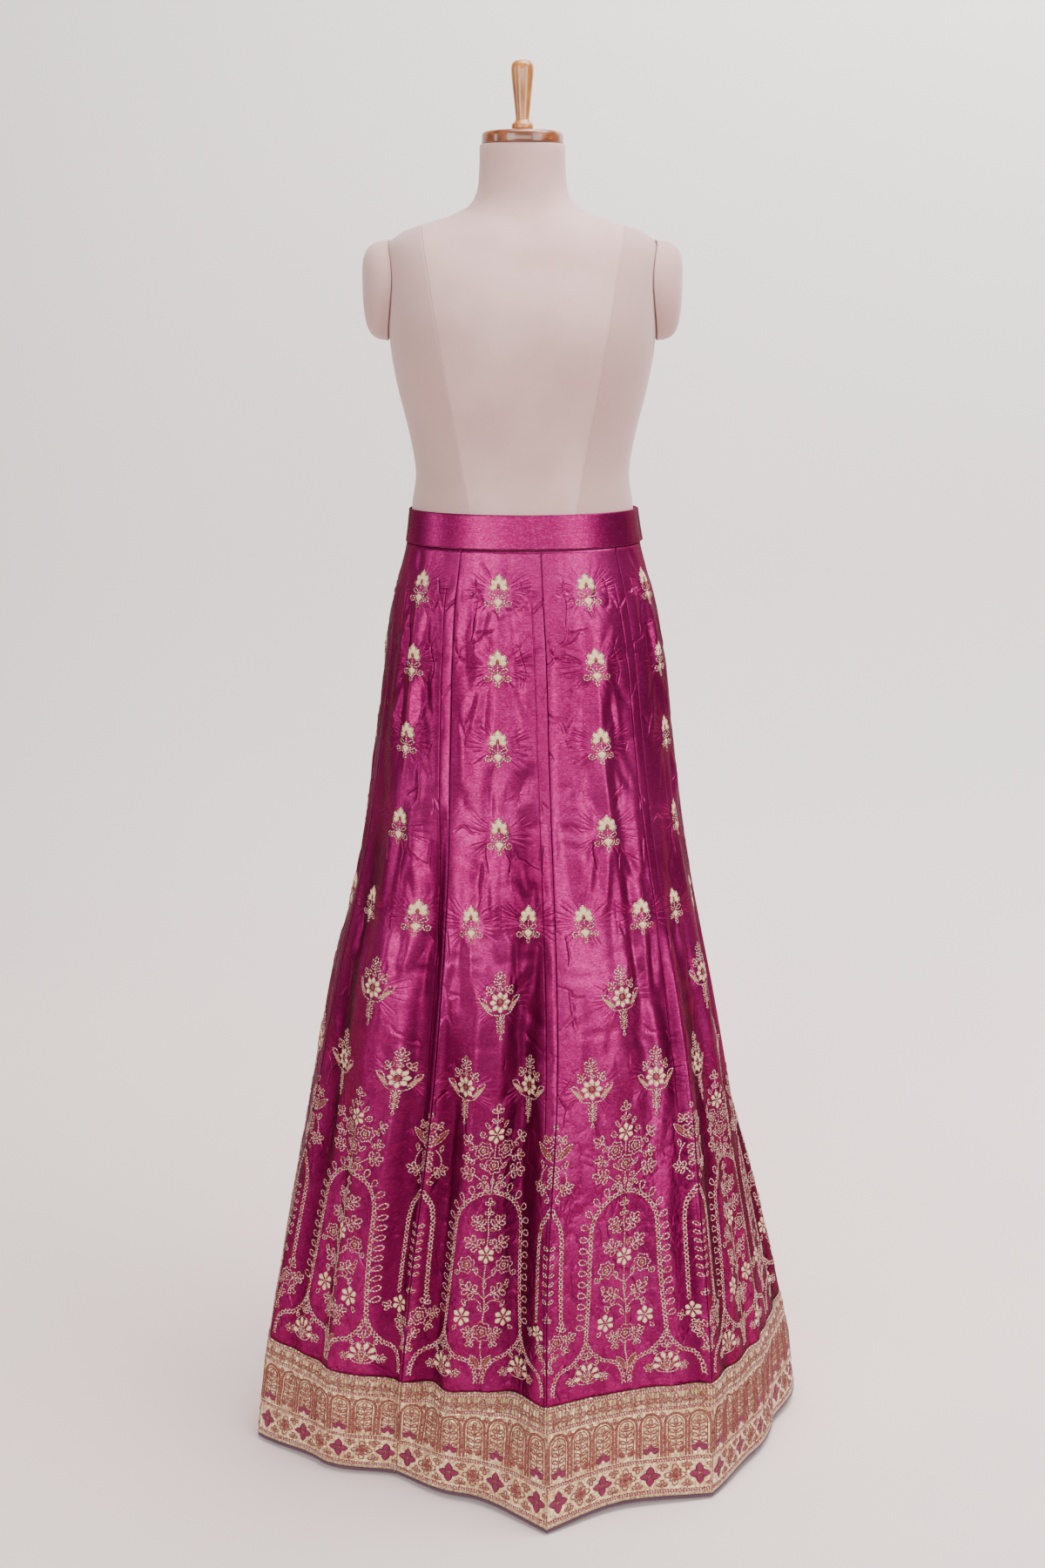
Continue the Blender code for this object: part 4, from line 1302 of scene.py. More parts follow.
def border_work(needle):
    """All the thread work of one piece of the gold border."""
    for share in BEAD_LINES:
        beaded_line(needle, share)
    pitch = BORDER_WIDE / FLOWERS
    for count in range(FLOWERS):
        x = (count - 0.5 * (FLOWERS - 1)) * pitch
        dark = count % 2 == 0
        four_petals(needle, x, FLOWER_LINE * BORDER_TALL, dark)
        border_arch(needle, x, dark)
        beside = x + 0.5 * pitch - 0.3
        needle.sprig(beside, 8.6, 0, 1.05)
        needle.sprig(beside, 44.0, 180, 1.05)
        needle.sprig(beside, 98.0, 0, 0.80)
        for rung in RUNGS:
            needle.loop(beside, rung, 0, 7.6, 3.4, 1.2)
    for count in range(TOP_SPRIGS):
        x = (count - 0.5 * (TOP_SPRIGS - 1)) * BORDER_WIDE / TOP_SPRIGS
        needle.sprig(x, 114.5, 0, 1.36)
    edge = 0.5 * BORDER_WIDE - 1.6
    needle.cord([complex(edge, 3.0), complex(edge, 133.0)], width=1.3, rise=0.4, kind=CREAM, step=6.0)


def flat_border():
    """The thread work of one piece of border, as a flat mesh whose z is the rise."""
    shape = new_flat()
    border_work(Needle(shape, scale=BORDER_SCALE, plain=BORDER_COPPER))
    return to_data(shape, "flat_border")


# ======== finishes
class Value:
    """A shader socket that takes part in sums."""

    def __init__(self, finish, socket):
        self.finish = finish
        self.socket = socket

    def sum(self, operation, *others):
        return self.finish.node(
            "ShaderNodeMath", {"operation": operation}, dict(enumerate((self,) + others)),
        )

    def __add__(self, other):
        return self.sum("ADD", other)

    __radd__ = __add__

    def __mul__(self, other):
        return self.sum("MULTIPLY", other)

    __rmul__ = __mul__

    def __sub__(self, other):
        return self.sum("SUBTRACT", other)

    def __rsub__(self, other):
        return (self * -1.0) + other

    def __pow__(self, other):
        return self.sum("POWER", other)

    def __abs__(self):
        return self.sum("ABSOLUTE")

    def ramp(self, low, high):
        """0 at low, 1 at high, with an easy S between them."""
        return self.finish.node(
            "ShaderNodeMapRange", {"interpolation_type": "SMOOTHSTEP"},
            {"Value": self, "From Min": low, "From Max": high},
        )

    def sine(self):
        return self.sum("SINE")


class Finish:
    """A named material and the nodes of it."""

    def __init__(self, name, **constants):
        self.material = bpy.data.materials.new(name)
        self.material.use_nodes = True
        self.tree = self.material.node_tree
        self.shader = self.tree.nodes["Principled BSDF"]
        for name, value in constants.items():
            socket = name.replace("_", " ").title().replace("Ior", "IOR")
            self.shader.inputs[socket].default_value = value

    def node(self, kind, settings, inputs, output=0):
        """Adds a node: its settings first, then the values or links of its sockets."""
        made = self.tree.nodes.new(kind)
        for name, value in settings.items():
            setattr(made, name, value)
        for name, value in inputs.items():
            if isinstance(value, Value):
                self.tree.links.new(value.socket, made.inputs[name])
            else:
                made.inputs[name].default_value = value
        return Value(self, made.outputs[output])

    def place(self):
        """Metres in the room."""
        return self.node("ShaderNodeTexCoord", {}, {}, "Object")

    def cut(self):
        """Metres on the flat cut piece."""
        return self.node("ShaderNodeUVMap", {"uv_map": "cut"}, {})

    def mark(self, name):
        """A vector that is kept on the piece's corners."""
        return self.node("ShaderNodeAttribute", {"attribute_name": name}, {}, "Vector")

    def parts(self, vector):
        """The three numbers of a vector."""
        node = self.node("ShaderNodeSeparateXYZ", {}, {0: vector}).socket.node
        return [Value(self, socket) for socket in node.outputs]

    def join(self, x, y):
        """A flat vector from two numbers."""
        return self.node("ShaderNodeCombineXYZ", {}, {0: x, 1: y})

    def reckon(self, operation, *vectors):
        """Vector maths."""
        return self.node(
            "ShaderNodeVectorMath", {"operation": operation}, dict(enumerate(vectors)),
        )

    def stretch(self, vector, x, y, z=1.0):
        return self.reckon("MULTIPLY", vector, (x, y, z))

    def shift(self, vector, other):
        return self.reckon("ADD", vector, other)

    def noise(self, vector, scale, detail=2.0, rough=0.5):
        return self.node(
            "ShaderNodeTexNoise", {},
            {"Vector": vector, "Scale": scale, "Detail": detail, "Roughness": rough},
        )

    def cells(self, vector, scale, feature="F1", output=0):
        return self.node(
            "ShaderNodeTexVoronoi", {"feature": feature}, {"Vector": vector, "Scale": scale}, output,
        )

    def blend(self, share, first, second):
        """A colour between two colours."""
        first, second = [
            (*colour, 1.0) if isinstance(colour, tuple) else colour for colour in (first, second)
        ]
        return self.node(
            "ShaderNodeMix", {"data_type": "RGBA"}, {0: share, 6: first, 7: second}, 2,
        )

    def coats(self, colour, *coats):
        """Lays colours over a colour in turn, each by its own share."""
        for share, over in coats:
            colour = self.blend(share, colour, over)
        return colour

    def wear(self, colour=None, roughness=None, metallic=None, height=None):
        """Joins what changes over the surface to the shader. height is in metres."""
        for socket, value in (("Base Color", colour), ("Roughness", roughness), ("Metallic", metallic)):
            if value is not None:
                self.tree.links.new(value.socket, self.shader.inputs[socket])
        if height is not None:
            bump = self.node("ShaderNodeBump", {}, {"Strength": 1.0, "Distance": 1.0, "Height": height})
            self.tree.links.new(bump.socket, self.shader.inputs["Normal"])
        return self.material


def ridges(value):
    """Turns a smooth noise into sharp crests."""
    return 1.0 - abs(value * 2.0 - 1.0)


# Where the finishes find things on the cloth, in metres.
ALLOWANCE_LINE = 0.0128
# Fall depths over which the taffeta and the gold darken in their troughs, as painted shade.
TAFFETA_TROUGH_SHADE = (-0.0012, -0.0070)
BROCADE_TROUGH_SHADE = (-0.0012, -0.0080)
SWAY = 0.045


def taffeta_finish():
    """Magenta taffeta: shot with pink, slubbed across, crumpled round its thread work."""
    finish = Finish(
        "magenta_taffeta", specular_ior_level=0.20, specular_tint=(0.10, 0.01, 0.05, 1.0),
    )
    cut = finish.cut()
    _, height, _ = finish.parts(cut)
    off_x, off_z, near = finish.parts(finish.mark("spot"))
    to_right, to_seam, fall = finish.parts(finish.mark("edge"))

    ray = finish.reckon("NORMALIZE", finish.join(off_x, off_z))
    ray_x, _, _ = finish.parts(ray)
    wander = finish.shift(finish.stretch(ray, 2.3, 3.4), finish.stretch(cut, 11.0, 9.0))
    rays = ridges(finish.noise(wander, 1.0, 1.0)) ** 9.0 * (ray_x * ray_x * 0.8 + 0.2)
    falls = ridges(finish.noise(finish.stretch(cut, 26.0, 8.0), 1.0, 1.5, 0.45)) ** 5.0

    # Fine sharp creases follow cell edges that a noise has swayed.
    sway_x = finish.noise(cut, 14.0, 2.0) * SWAY
    sway_z = finish.noise(finish.stretch(cut, 1.3, 0.9), 17.0, 2.0) * SWAY
    swayed = finish.shift(finish.stretch(cut, 1.0, 0.62), finish.join(sway_x, sway_z))
    folded = finish.cells(swayed, 27.0, "DISTANCE_TO_EDGE")
    here = finish.noise(cut, 21.0, 1.0).ramp(0.50, 0.66)
    sharp = (1.0 - folded.ramp(0.0, 0.07)) * here
    fine = ridges(finish.noise(cut, 52.0, 2.0, 0.5)) ** 4.0
    dimples = finish.cells(finish.stretch(cut, 1.0, 0.8), 58.0, "SMOOTH_F1")
    low = 1.0 - height.ramp(0.28, 0.60)
    crush = ridges(finish.noise(finish.stretch(cut, 30.0, 21.0), 1.0, 3.0, 0.55)) ** 6.0 * low
    threads = finish.noise(finish.stretch(cut, 90.0, 2100.0), 1.0, 1.0)
    slub = finish.noise(finish.stretch(cut, 16.0, 700.0), 1.0, 2.0, 0.6)
    middle = height.ramp(0.40, 0.46) * (1.0 - height.ramp(1.02, 1.05))
    strip = (1.0 - abs(to_right - ALLOWANCE_LINE).ramp(0.0002, 0.0014)) * middle

    free = 1.0 - height.ramp(1.045, 1.055)
    bump = (
        rays * near * -0.0008
        + falls * free * -0.00040
        + sharp * free * -0.0011
        + fine * (low * 0.7 + 0.3) * -0.00020
        + dimples * low * 0.0005
        + crush * -0.0010
        + strip * -0.0007
        + threads * 0.00004
        + slub * 0.00002
    )
    patches = finish.noise(cut, 6.0, 3.0)
    glint, _, dull = finish.parts(finish.cells(finish.stretch(cut, 0.7, 1.5), 700.0, output="Color"))
    tone = finish.blend(patches.ramp(0.35, 0.70), (0.205, 0.0065, 0.072), (0.305, 0.0150, 0.120))
    # The pinker glint cells are painted glints; the slub streaks are the weave's own colour.
    pink = slub.ramp(0.54, 0.74) * 0.12 + glint.ramp(0.55, 1.0) * 0.24
    # Painted shade in the seam grooves and along the pressed allowance's edge.
    painted_seam_shade = (1.0 - to_seam.ramp(0.0004, 0.0018)) * 0.60 + strip * 0.35
    colour = finish.coats(
        tone,
        (pink, (0.520, 0.060, 0.235)),
        (dull.ramp(0.45, 1.0) * 0.42, (0.110, 0.001, 0.030)),
        (painted_seam_shade, (0.080, 0.002, 0.028)),
        # Painted shade in the troughs of the falls and in the crushed creases.
        (fall.ramp(*TAFFETA_TROUGH_SHADE) * 0.68, (0.075, 0.001, 0.021)),
        (crush * 0.42, (0.080, 0.001, 0.023)),
    )
    return finish.wear(
        colour,
        roughness=0.30 + patches * 0.07 + dull * 0.08,
        metallic=0.78 + glint * 0.08,
        height=bump,
    )


def brocade_finish():
    """Gold satin with a fine weft and rust scrolls, puckered under the upper row of work."""
    finish = Finish("gold_satin", sheen_weight=0.15, sheen_tint=(1.0, 0.9, 0.7, 1.0))
    cut = finish.cut()
    across, height, _ = finish.parts(cut)
    _, to_seam, fall = finish.parts(finish.mark("edge"))
    slub = finish.noise(finish.stretch(cut, 18.0, 900.0), 1.0, 2.0, 0.6)
    patches = finish.noise(cut, 24.0, 3.0)
    uneven = finish.noise(finish.stretch(cut, 60.0, 9.0), 1.0, 1.0)
    pucker = (across * 1050.0 + uneven * 9.0).sine()
    upper = height.ramp(0.106, 0.118)
    crumple = ridges(finish.noise(cut, 85.0, 2.0)) ** 3.0
    scroll = ridges(finish.noise(finish.stretch(cut, 165.0, 145.0), 1.0, 0.0)) ** 9.0
    scroll = scroll.ramp(0.25, 0.75)
    gold = finish.blend(patches.ramp(0.32, 0.66), (0.640, 0.405, 0.160), (1.000, 0.810, 0.455))
    colour = finish.coats(
        gold,
        (slub.ramp(0.54, 0.72) * 0.5, (0.960, 0.770, 0.460)),
        # Painted shade in the puckers' troughs, and a painted highlight on their crests.
        (pucker.ramp(-0.2, -0.9) * (upper * 0.33 + 0.20), (0.300, 0.180, 0.085)),
        (pucker.ramp(0.2, 0.9) * 0.55, (1.000, 0.890, 0.580)),
        # Painted shade in the crumples.
        (crumple.ramp(0.35, 0.95) * 0.40, (0.380, 0.230, 0.110)),
        (scroll * 0.60, (0.300, 0.095, 0.055)),
        # Painted shade in the seam grooves and in the troughs of the falls.
        ((1.0 - to_seam.ramp(0.0003, 0.0012)) * 0.3, (0.300, 0.170, 0.070)),
        (fall.ramp(*BROCADE_TROUGH_SHADE) * 0.40, (0.300, 0.170, 0.080)),
    )
    return finish.wear(
        colour,
        roughness=0.22 + patches * 0.14,
        metallic=0.60 + slub * 0.20,
        height=pucker * upper * 0.0012 + crumple * -0.0014 + scroll * 0.0004 + slub * 0.00005,
    )


def thread_finish():
    """Copper and silver metal thread with painted glints and painted rim shade, and cream, maroon and
    rust silk where it is marked.
    """
    finish = Finish("metal_thread", specular_ior_level=0.30)
    along, over, _ = finish.parts(finish.mark("thread"))
    cream, maroon, rust = finish.parts(finish.mark("silk"))
    place = finish.place()
    first, second, third = finish.parts(finish.cells(place, 820.0, output="Color"))
    rim = abs(over).ramp(0.44, 0.96)
    twist = (along * 2.1 + over * 1.5).sine() * 0.5 + 0.5
    copper = finish.blend(second, (0.160, 0.022, 0.018), (0.360, 0.080, 0.056))
    pale = finish.blend(third, (0.760, 0.450, 0.370), (0.960, 0.820, 0.790))
    # The pale crests along the twist are painted glints.
    bright = twist.ramp(0.22, 0.80) * first.ramp(0.20, 0.55) * (1.0 - rust * 0.60)
    colour = finish.blend(bright, copper, pale)
    satin = finish.blend(second, (0.120, 0.014, 0.015), (0.260, 0.050, 0.044))
    colour = finish.blend(rust * 0.9, colour, satin)
    ivory = finish.blend(first, (0.520, 0.350, 0.180), (0.760, 0.590, 0.360))
    plum = finish.blend(first, (0.120, 0.003, 0.032), (0.200, 0.010, 0.056))
    colour = finish.blend(maroon, finish.blend(cream, colour, ivory), plum)
    # Painted shade darkens the rims of every cord and petal, tan on the cream.
    shade = finish.blend(cream, (0.040, 0.004, 0.008), (0.240, 0.095, 0.050))
    colour = finish.blend(rim * 0.92, colour, shade)
    silk = cream + maroon
    ply = (along * 5.4 + over * 2.0).sine()
    strand = (over * 11.0 + along * 0.9).sine()
    return finish.wear(
        colour,
        roughness=0.28 + second * 0.14 + silk * 0.16,
        metallic=(1.0 - silk) * 0.38,
        height=(ply * (1.0 - silk) + strand * silk) * 0.00011,
    )


def piping_finish():
    """Dark plum twill, folded round the hem."""
    finish = Finish("plum_twill", sheen_weight=0.2)
    place = finish.place()
    x, y, z = finish.parts(place)
    twill = ((x + y + z * 1.2) * 4800.0).sine()
    patches = finish.noise(place, 40.0, 3.0)
    colour = finish.blend(patches, (0.030, 0.006, 0.018), (0.075, 0.014, 0.044))
    return finish.wear(colour, roughness=0.48 + patches * 0.14, height=twill * 0.00008)


# The long seams of the form's front lean outwards as they rise.
PANEL_LINE = 0.0952
PANEL_HEIGHT = 1.33
PANEL_SLOPE = 0.17


def jersey_finish():
    """Pale mauve-grey jersey stretched over the padding, with darker side panels."""
    finish = Finish(
        "form_jersey", sheen_weight=0.35, sheen_roughness=0.5, sheen_tint=(0.95, 0.90, 0.92, 1.0),
    )
    place = finish.place()
    x, y, z = finish.parts(place)
    line = abs(x) - (z - PANEL_HEIGHT) * PANEL_SLOPE
    front = 1.0 - y.ramp(0.05, 0.08)
    side = line.ramp(0.0945, 0.0960) * z.ramp(1.05, 1.12) * front
    seam = (1.0 - abs(line - PANEL_LINE).ramp(0.0002, 0.0016)) * front
    wales = (x * 2900.0).sine() * (z * 2200.0).sine()
    pile = finish.noise(place, 900.0, 2.0)
    cloud = finish.noise(place, 14.0, 3.0)
    mauve = finish.blend(cloud.ramp(0.3, 0.7), (0.510, 0.303, 0.280), (0.590, 0.366, 0.340))
    colour = finish.coats(
        mauve,
        (z.ramp(1.42, 1.50) * 0.40, (0.440, 0.235, 0.215)),
        (side * 0.75, (0.420, 0.245, 0.224)),
        (pile.ramp(0.5, 0.8) * 0.35, (0.650, 0.450, 0.425)),
    )
    height = wales * 0.00005 + pile * 0.0001 + seam * -0.0006
    return finish.wear(colour, roughness=0.80 + pile * 0.12, height=height)


def wood_finish(name, dark, light, stretch, rings):
    """Varnished hardwood with streaked grain."""
    finish = Finish(name, coat_weight=0.75, coat_roughness=0.12)
    place = finish.place()
    grain = finish.noise(finish.stretch(place, *stretch), 1.0, 4.0, 0.6)
    x, y, z = finish.parts(finish.stretch(place, *rings))
    bands = (x + y * 0.6 + z + grain * 5.0).sine() * 0.5 + 0.5
    pores = finish.noise(finish.stretch(place, *[5.0 * size for size in stretch]), 1.0, 2.0)
    colour = finish.blend(grain.ramp(0.32, 0.72), dark, light)
    colour = finish.blend(bands * 0.35, colour, tuple(0.55 * part for part in dark))
    colour = finish.blend(pores.ramp(0.60, 0.72) * 0.5, colour, tuple(0.4 * part for part in dark))
    return finish.wear(colour, roughness=0.30 + grain * 0.15, height=pores * -0.00006)


def enamel_finish():
    """Black stove enamel with a little orange peel and rubbed patches."""
    finish = Finish("black_enamel", coat_weight=0.3, coat_roughness=0.25)
    place = finish.place()
    peel = finish.noise(place, 420.0, 2.0)
    rubbed = finish.noise(place, 22.0, 4.0, 0.6)
    colour = finish.blend(rubbed.ramp(0.55, 0.75), (0.020, 0.020, 0.022), (0.060, 0.058, 0.056))
    return finish.wear(
        colour,
        roughness=0.30 + rubbed * 0.25,
        metallic=0.4 + rubbed * 0.2,
        height=peel * 0.00008,
    )


def studio_finish():
    """Painted pale grey paper, pinker on the floor."""
    finish = Finish("studio_paper")
    place = finish.place()
    _, _, z = finish.parts(place)
    cloud = finish.noise(place, 1.3, 4.0, 0.6)
    colour = finish.blend(z.ramp(0.02, 0.60), (0.850, 0.680, 0.660), (0.715, 0.675, 0.650))
    colour = finish.blend(cloud.ramp(0.3, 0.75) * 0.30, colour, (0.655, 0.600, 0.580))
    behind = finish.node("ShaderNodeNewGeometry", {}, {}, "Backfacing")
    clear = finish.node("ShaderNodeBsdfTransparent", {}, {})
    front = Value(finish, finish.shader.outputs["BSDF"])
    seen = finish.node("ShaderNodeMixShader", {}, {0: behind, 1: front, 2: clear})
    finish.tree.links.new(seen.socket, finish.tree.nodes["Material Output"].inputs["Surface"])
    return finish.wear(colour, roughness=0.80 + cloud * 0.1)


TAFFETA = taffeta_finish()
BROCADE = brocade_finish()
THREAD = thread_finish()
PIPING = piping_finish()
JERSEY = jersey_finish()
AMBER_WOOD = wood_finish(
    "amber_wood", dark=(0.300, 0.085, 0.012), light=(0.600, 0.240, 0.045),
    stretch=(95.0, 95.0, 12.0), rings=(420.0, 420.0, 30.0),
)
RED_WOOD = wood_finish(
    "red_wood", dark=(0.130, 0.030, 0.008), light=(0.340, 0.095, 0.022),
    stretch=(30.0, 120.0, 160.0), rings=(60.0, 380.0, 500.0),
)
ENAMEL = enamel_finish()

# ======== the skirt's pieces
CLOTH_WALL = 0.0005
TUCK = 0.004
EDGE_ROUND = 0.0007
THREAD_SEAT = 0.00015
GORE_COLUMNS = 47
GORE_ROWS = 196
BORDER_ROWS = 30
EDGE_SHARES = np.array([0.0, 0.0018, 0.0045, 0.012])
COLUMN_SPAN = (0.024, 0.976)
# The ring round a motif where the cloth puckers, and how strongly each kind pulls.
SPOT_START = 0.012
SPOT_GROWS = 0.010
SPOT_REACH = 0.042
SPOT_FADES = 0.020
SPOTS = ((BUTI_PLACES, 1.0), (FLOWER_PLACES, 0.8))
NO_SPOT = 9.0

# How near an edge the folds fade out.
SEAM_HOLD = 0.010
BAND_HOLD = 0.012
BORDER_HOLD = 0.008
GORE_RIPPLE = 0.00006
BORDER_RIPPLE = 0.0005
# Each gore stands out between its seams, from the thigh up to under the band.
BELLY = 0.0034
BELLY_FULLNESS = 0.8
BELLY_FOOT = 0.34
BELLY_GROWS = 0.30
BELLY_FADES = 0.10
# The seam allowance that is pressed to one side shows as a low step.
ALLOWANCE = 0.0133
ALLOWANCE_RISE = 0.0006
ALLOWANCE_STEP = 0.0016
ALLOWANCE_FOOT = 0.40
ALLOWANCE_TOP = 1.05
ALLOWANCE_GROWS = 0.05
ALLOWANCE_FADES = 0.03
BORDER_ROLL = 0.001
BORDER_TUCK = 0.003
BORDER_FOOT = 0.012
ROLL_STATIONS = 56
ROLL_SIDES = 12
# Below this height the thread work slides, so that it meets its gore's own border.
SLIDE_TOP = 0.25
SLIDE_GROWS = 0.10
AREA_STEPS = 60


def uneven_columns(count):
    """Shares across a gore, close together near its seams."""
    middle = np.linspace(*COLUMN_SPAN, count)
    return np.concatenate([EDGE_SHARES, middle, 1.0 - EDGE_SHARES[::-1]])


def across_gap(across, width):
    """The share across, held half a seam's gap away from each seam."""
    return 0.5 + (across - 0.5) * (1.0 - SEAM_GAP / width)


def edge_round(to_edge, radius):
    """How far a rolled edge turns inwards, this far from it."""
    near = np.clip(1.0 - to_edge / radius, 0.0, 1.0)
    return radius * (1.0 - np.sqrt(1.0 - near * near))


def nearest_spot(x, height):
    """The way from the nearest motif, and how strongly it puckers the cloth."""
    best = np.full(x.shape, NO_SPOT)
    mark = np.zeros(x.shape + (3,))
    for places, strength in SPOTS:
        for share, z in places:
            off_x, off_z = x - share * 0.5 * plain_width(z), height - z
            far = np.hypot(off_x, off_z)
            reach = smooth_step((far - SPOT_START) / SPOT_GROWS)
            reach *= smooth_step((SPOT_REACH - far) / SPOT_FADES)
            nearer = far < best
            best = np.where(nearer, far, best)
            mark[nearer] = np.stack([off_x, off_z, strength * reach], axis=-1)[nearer]
    return mark


def free_share(to_seam, from_top, top_hold, from_foot):
    """How free the cloth is to fold: 0 at the edges that hold it, 1 away from them."""
    free = smooth_step(to_seam / SEAM_HOLD) * smooth_step(from_top / top_hold)
    return free * smooth_step(from_foot / BORDER_HOLD)


def held_point(index, share, height):
    """The plain cloth's place between its seams' gaps, and the way out of it."""
    gore = GORE_MAPS[index]
    held = across_gap(share, gore.width(height))
    return skirt_point(index, gore.turn(held, height), height)


def gore_cloth(index):
    """One gore's sheet of cloth, with its folds."""
    across, down = uneven_columns(GORE_COLUMNS), np.linspace(0.0, 1.0, GORE_ROWS)
    share, drop = np.meshgrid(across, down)
    top = BAND_FOOT - 0.5 * SEAM_GAP
    foot = border_top(index, share) + 0.5 * SEAM_GAP
    height = top + (foot - top) * drop
    width = GORE_MAPS[index].width(height)
    point, outward = held_point(index, share, height)
    plain = plain_width(height)
    to_right = (1.0 - share) * width
    to_seam = np.minimum(share * width, to_right)
    x = (share - 0.5) * plain
    folds = crease_depth(index, share, height, plain) + GORE_RIPPLE * ripple(x, height, 1.3 * index)
    folds *= free_share(to_seam, top - height, BAND_HOLD, height - foot)
    falls = fall_depth(index, x, height) * smooth_step(to_seam / SEAM_HOLD)
    folds += falls
    belly = BELLY * np.sin(math.pi * share) ** BELLY_FULLNESS
    belly *= smooth_step((height - BELLY_FOOT) / BELLY_GROWS)
    belly *= smooth_step((top - height) / BELLY_FADES)
    pressed = smooth_step((ALLOWANCE - to_right) / ALLOWANCE_STEP)
    pressed *= smooth_step((height - ALLOWANCE_FOOT) / ALLOWANCE_GROWS)
    pressed *= smooth_step((ALLOWANCE_TOP - height) / ALLOWANCE_FADES)
    moved = folds + belly + ALLOWANCE_RISE * pressed - edge_round(to_seam, EDGE_ROUND)
    cut = np.stack([(share - 0.5) * width, height], axis=-1)
    marks = {
        "spot": nearest_spot(x, height),
        "edge": np.stack([to_right, to_seam, falls], axis=-1),
    }
    return Cloth(across, down, point + outward * moved[..., None], cut, marks)


def border_cloth(index):
    """The gold strip at the foot of one gore."""
    across, down = uneven_columns(GORE_COLUMNS), np.linspace(0.0, 1.0, BORDER_ROWS)
    share, drop = np.meshgrid(across, down)
    top = border_top(index, share) - 0.5 * SEAM_GAP
    foot = hem_height(index, share) + PIPING_HEIGHT + SEAM_GAP
    height = top + (foot - top) * drop
    width = GORE_MAPS[index].width(height)
    point, outward = held_point(index, share, height)
    to_seam = np.minimum(share, 1.0 - share) * width
    x = (share - 0.5) * plain_width(height)
    waves = BORDER_RIPPLE * ripple(x, height, 2.1 * index + 0.7)
    waves *= free_share(to_seam, top - height, BORDER_HOLD, height - foot)
    falls = fall_depth(index, x, height) * smooth_step(to_seam / SEAM_HOLD)
    waves += falls
    moved = BORDER_PROUD + waves - edge_round(to_seam, EDGE_ROUND)
    moved -= edge_round(top - height, BORDER_ROLL)
    cut = np.stack([(share - 0.5) * width, (1.0 - drop) * BORDER_TALL * MM], axis=-1)
    marks = {
        "spot": np.zeros(share.shape + (3,)),
        "edge": np.stack([(1.0 - share) * width, to_seam, falls], axis=-1),
    }
    return Cloth(across, down, point + outward * moved[..., None], cut, marks)


def band_lift(run):
    """How far the lapping end of the waistband is raised off its first end."""
    raised = BAND_WALL + SEAM_GAP
    return raised * smooth_step((run - (360.0 - BAND_RAMP)) / BAND_RAMP)


# The waistband's strip: its weave's length, and its rows, close together at both edges.
BAND_COLUMNS = 191
BAND_EDGE = (0.0, 0.012, 0.03, 0.06)
BAND_MIDDLE = (0.12, 0.88, 9)
BAND_WEAVE = 0.87
BAND_LENGTH = 0.86
BAND_EDGE_ROUND = 0.0011
BAND_END_ROUND = 0.0012
FAR_FROM_SEAMS = 0.1


def waistband_cloth():
    """One straight strip round the waist whose end laps over its start."""
    length = 360.0 + BAND_LAP
    across = np.linspace(0.0, 1.0, BAND_COLUMNS)
    edge = np.array(BAND_EDGE)
    down = np.concatenate([edge, np.linspace(*BAND_MIDDLE), 1.0 - edge[::-1]])
    share, drop = np.meshgrid(across, down)
    run = length * share
    tall = BAND_HEIGHT - 0.5 * SEAM_GAP
    height = WAIST_TOP - tall * drop
    point, outward = ring_point(BAND_START + run, height)
    to_edge = np.minimum(drop, 1.0 - drop) * tall
    moved = BAND_PROUD + band_lift(run) - edge_round(to_edge, BAND_EDGE_ROUND)
    moved -= edge_round((1.0 - share) * BAND_LENGTH, BAND_END_ROUND)
    cut = np.stack([share * BAND_WEAVE, height], axis=-1)
    away = np.full(share.shape, FAR_FROM_SEAMS)
    marks = {
        "spot": np.zeros(share.shape + (3,)),
        "edge": np.stack([away, away, 0.0 * share], axis=-1),
    }
    return Cloth(across, down, point + outward * moved[..., None], cut, marks)


def lay_work(name, flat, cloth, shares):
    """A copy of flat thread work, laid on a piece of cloth."""
    data = flat.copy()
    spots = read_corners(data)
    point, outward = cloth.at(*shares(spots[:, 0], spots[:, 1]))
    write_corners(data, point + outward * (spots[:, 2] + THREAD_SEAT)[:, None])
    return piece(name, data, THREAD, "thread")


def hem_roll(index):
    """The dark strip rolled round the hem of one gore."""
    shape = bmesh.new()
    bmesh.ops.create_grid(shape, x_segments=ROLL_STATIONS, y_segments=ROLL_SIDES, size=0.5)
    share = np.array([corner.co.x + 0.5 for corner in shape.verts])
    lap = math.tau * np.array([corner.co.y + 0.5 for corner in shape.verts])
    height = hem_height(index, share) + 0.5 * PIPING_HEIGHT
    point, outward = held_point(index, share, height)
    half_wall, half_tall = 0.5 * PIPING_WALL, 0.5 * PIPING_HEIGHT
    reach = PIPING_PROUD - half_wall + half_wall * np.cos(lap)
    place = point + outward * reach[:, None]
    place[:, 2] += half_tall * np.sin(lap)
    for corner, spot in zip(shape.verts, place):
        corner.co = spot
    bmesh.ops.remove_doubles(shape, verts=shape.verts[:], dist=1e-6)
    ends = [edge for edge in shape.edges if edge.is_boundary]
    bmesh.ops.holes_fill(shape, edges=ends, sides=0)
    return to_data(shape, "hem_roll")


def gore_shares(index):
    """Where the plain gore's thread work comes on this gore."""
    def shares(x, z):
        across = np.clip(x / plain_width(z) + 0.5, 0.0, 1.0)
        foot = border_top(index, across) + 0.5 * SEAM_GAP
        top = BAND_FOOT - 0.5 * SEAM_GAP
        height = z + (foot - BORDER_TALL * MM) * smooth_step((SLIDE_TOP - z) / SLIDE_GROWS)
        return across, (top - height) / (top - foot)
    return shares


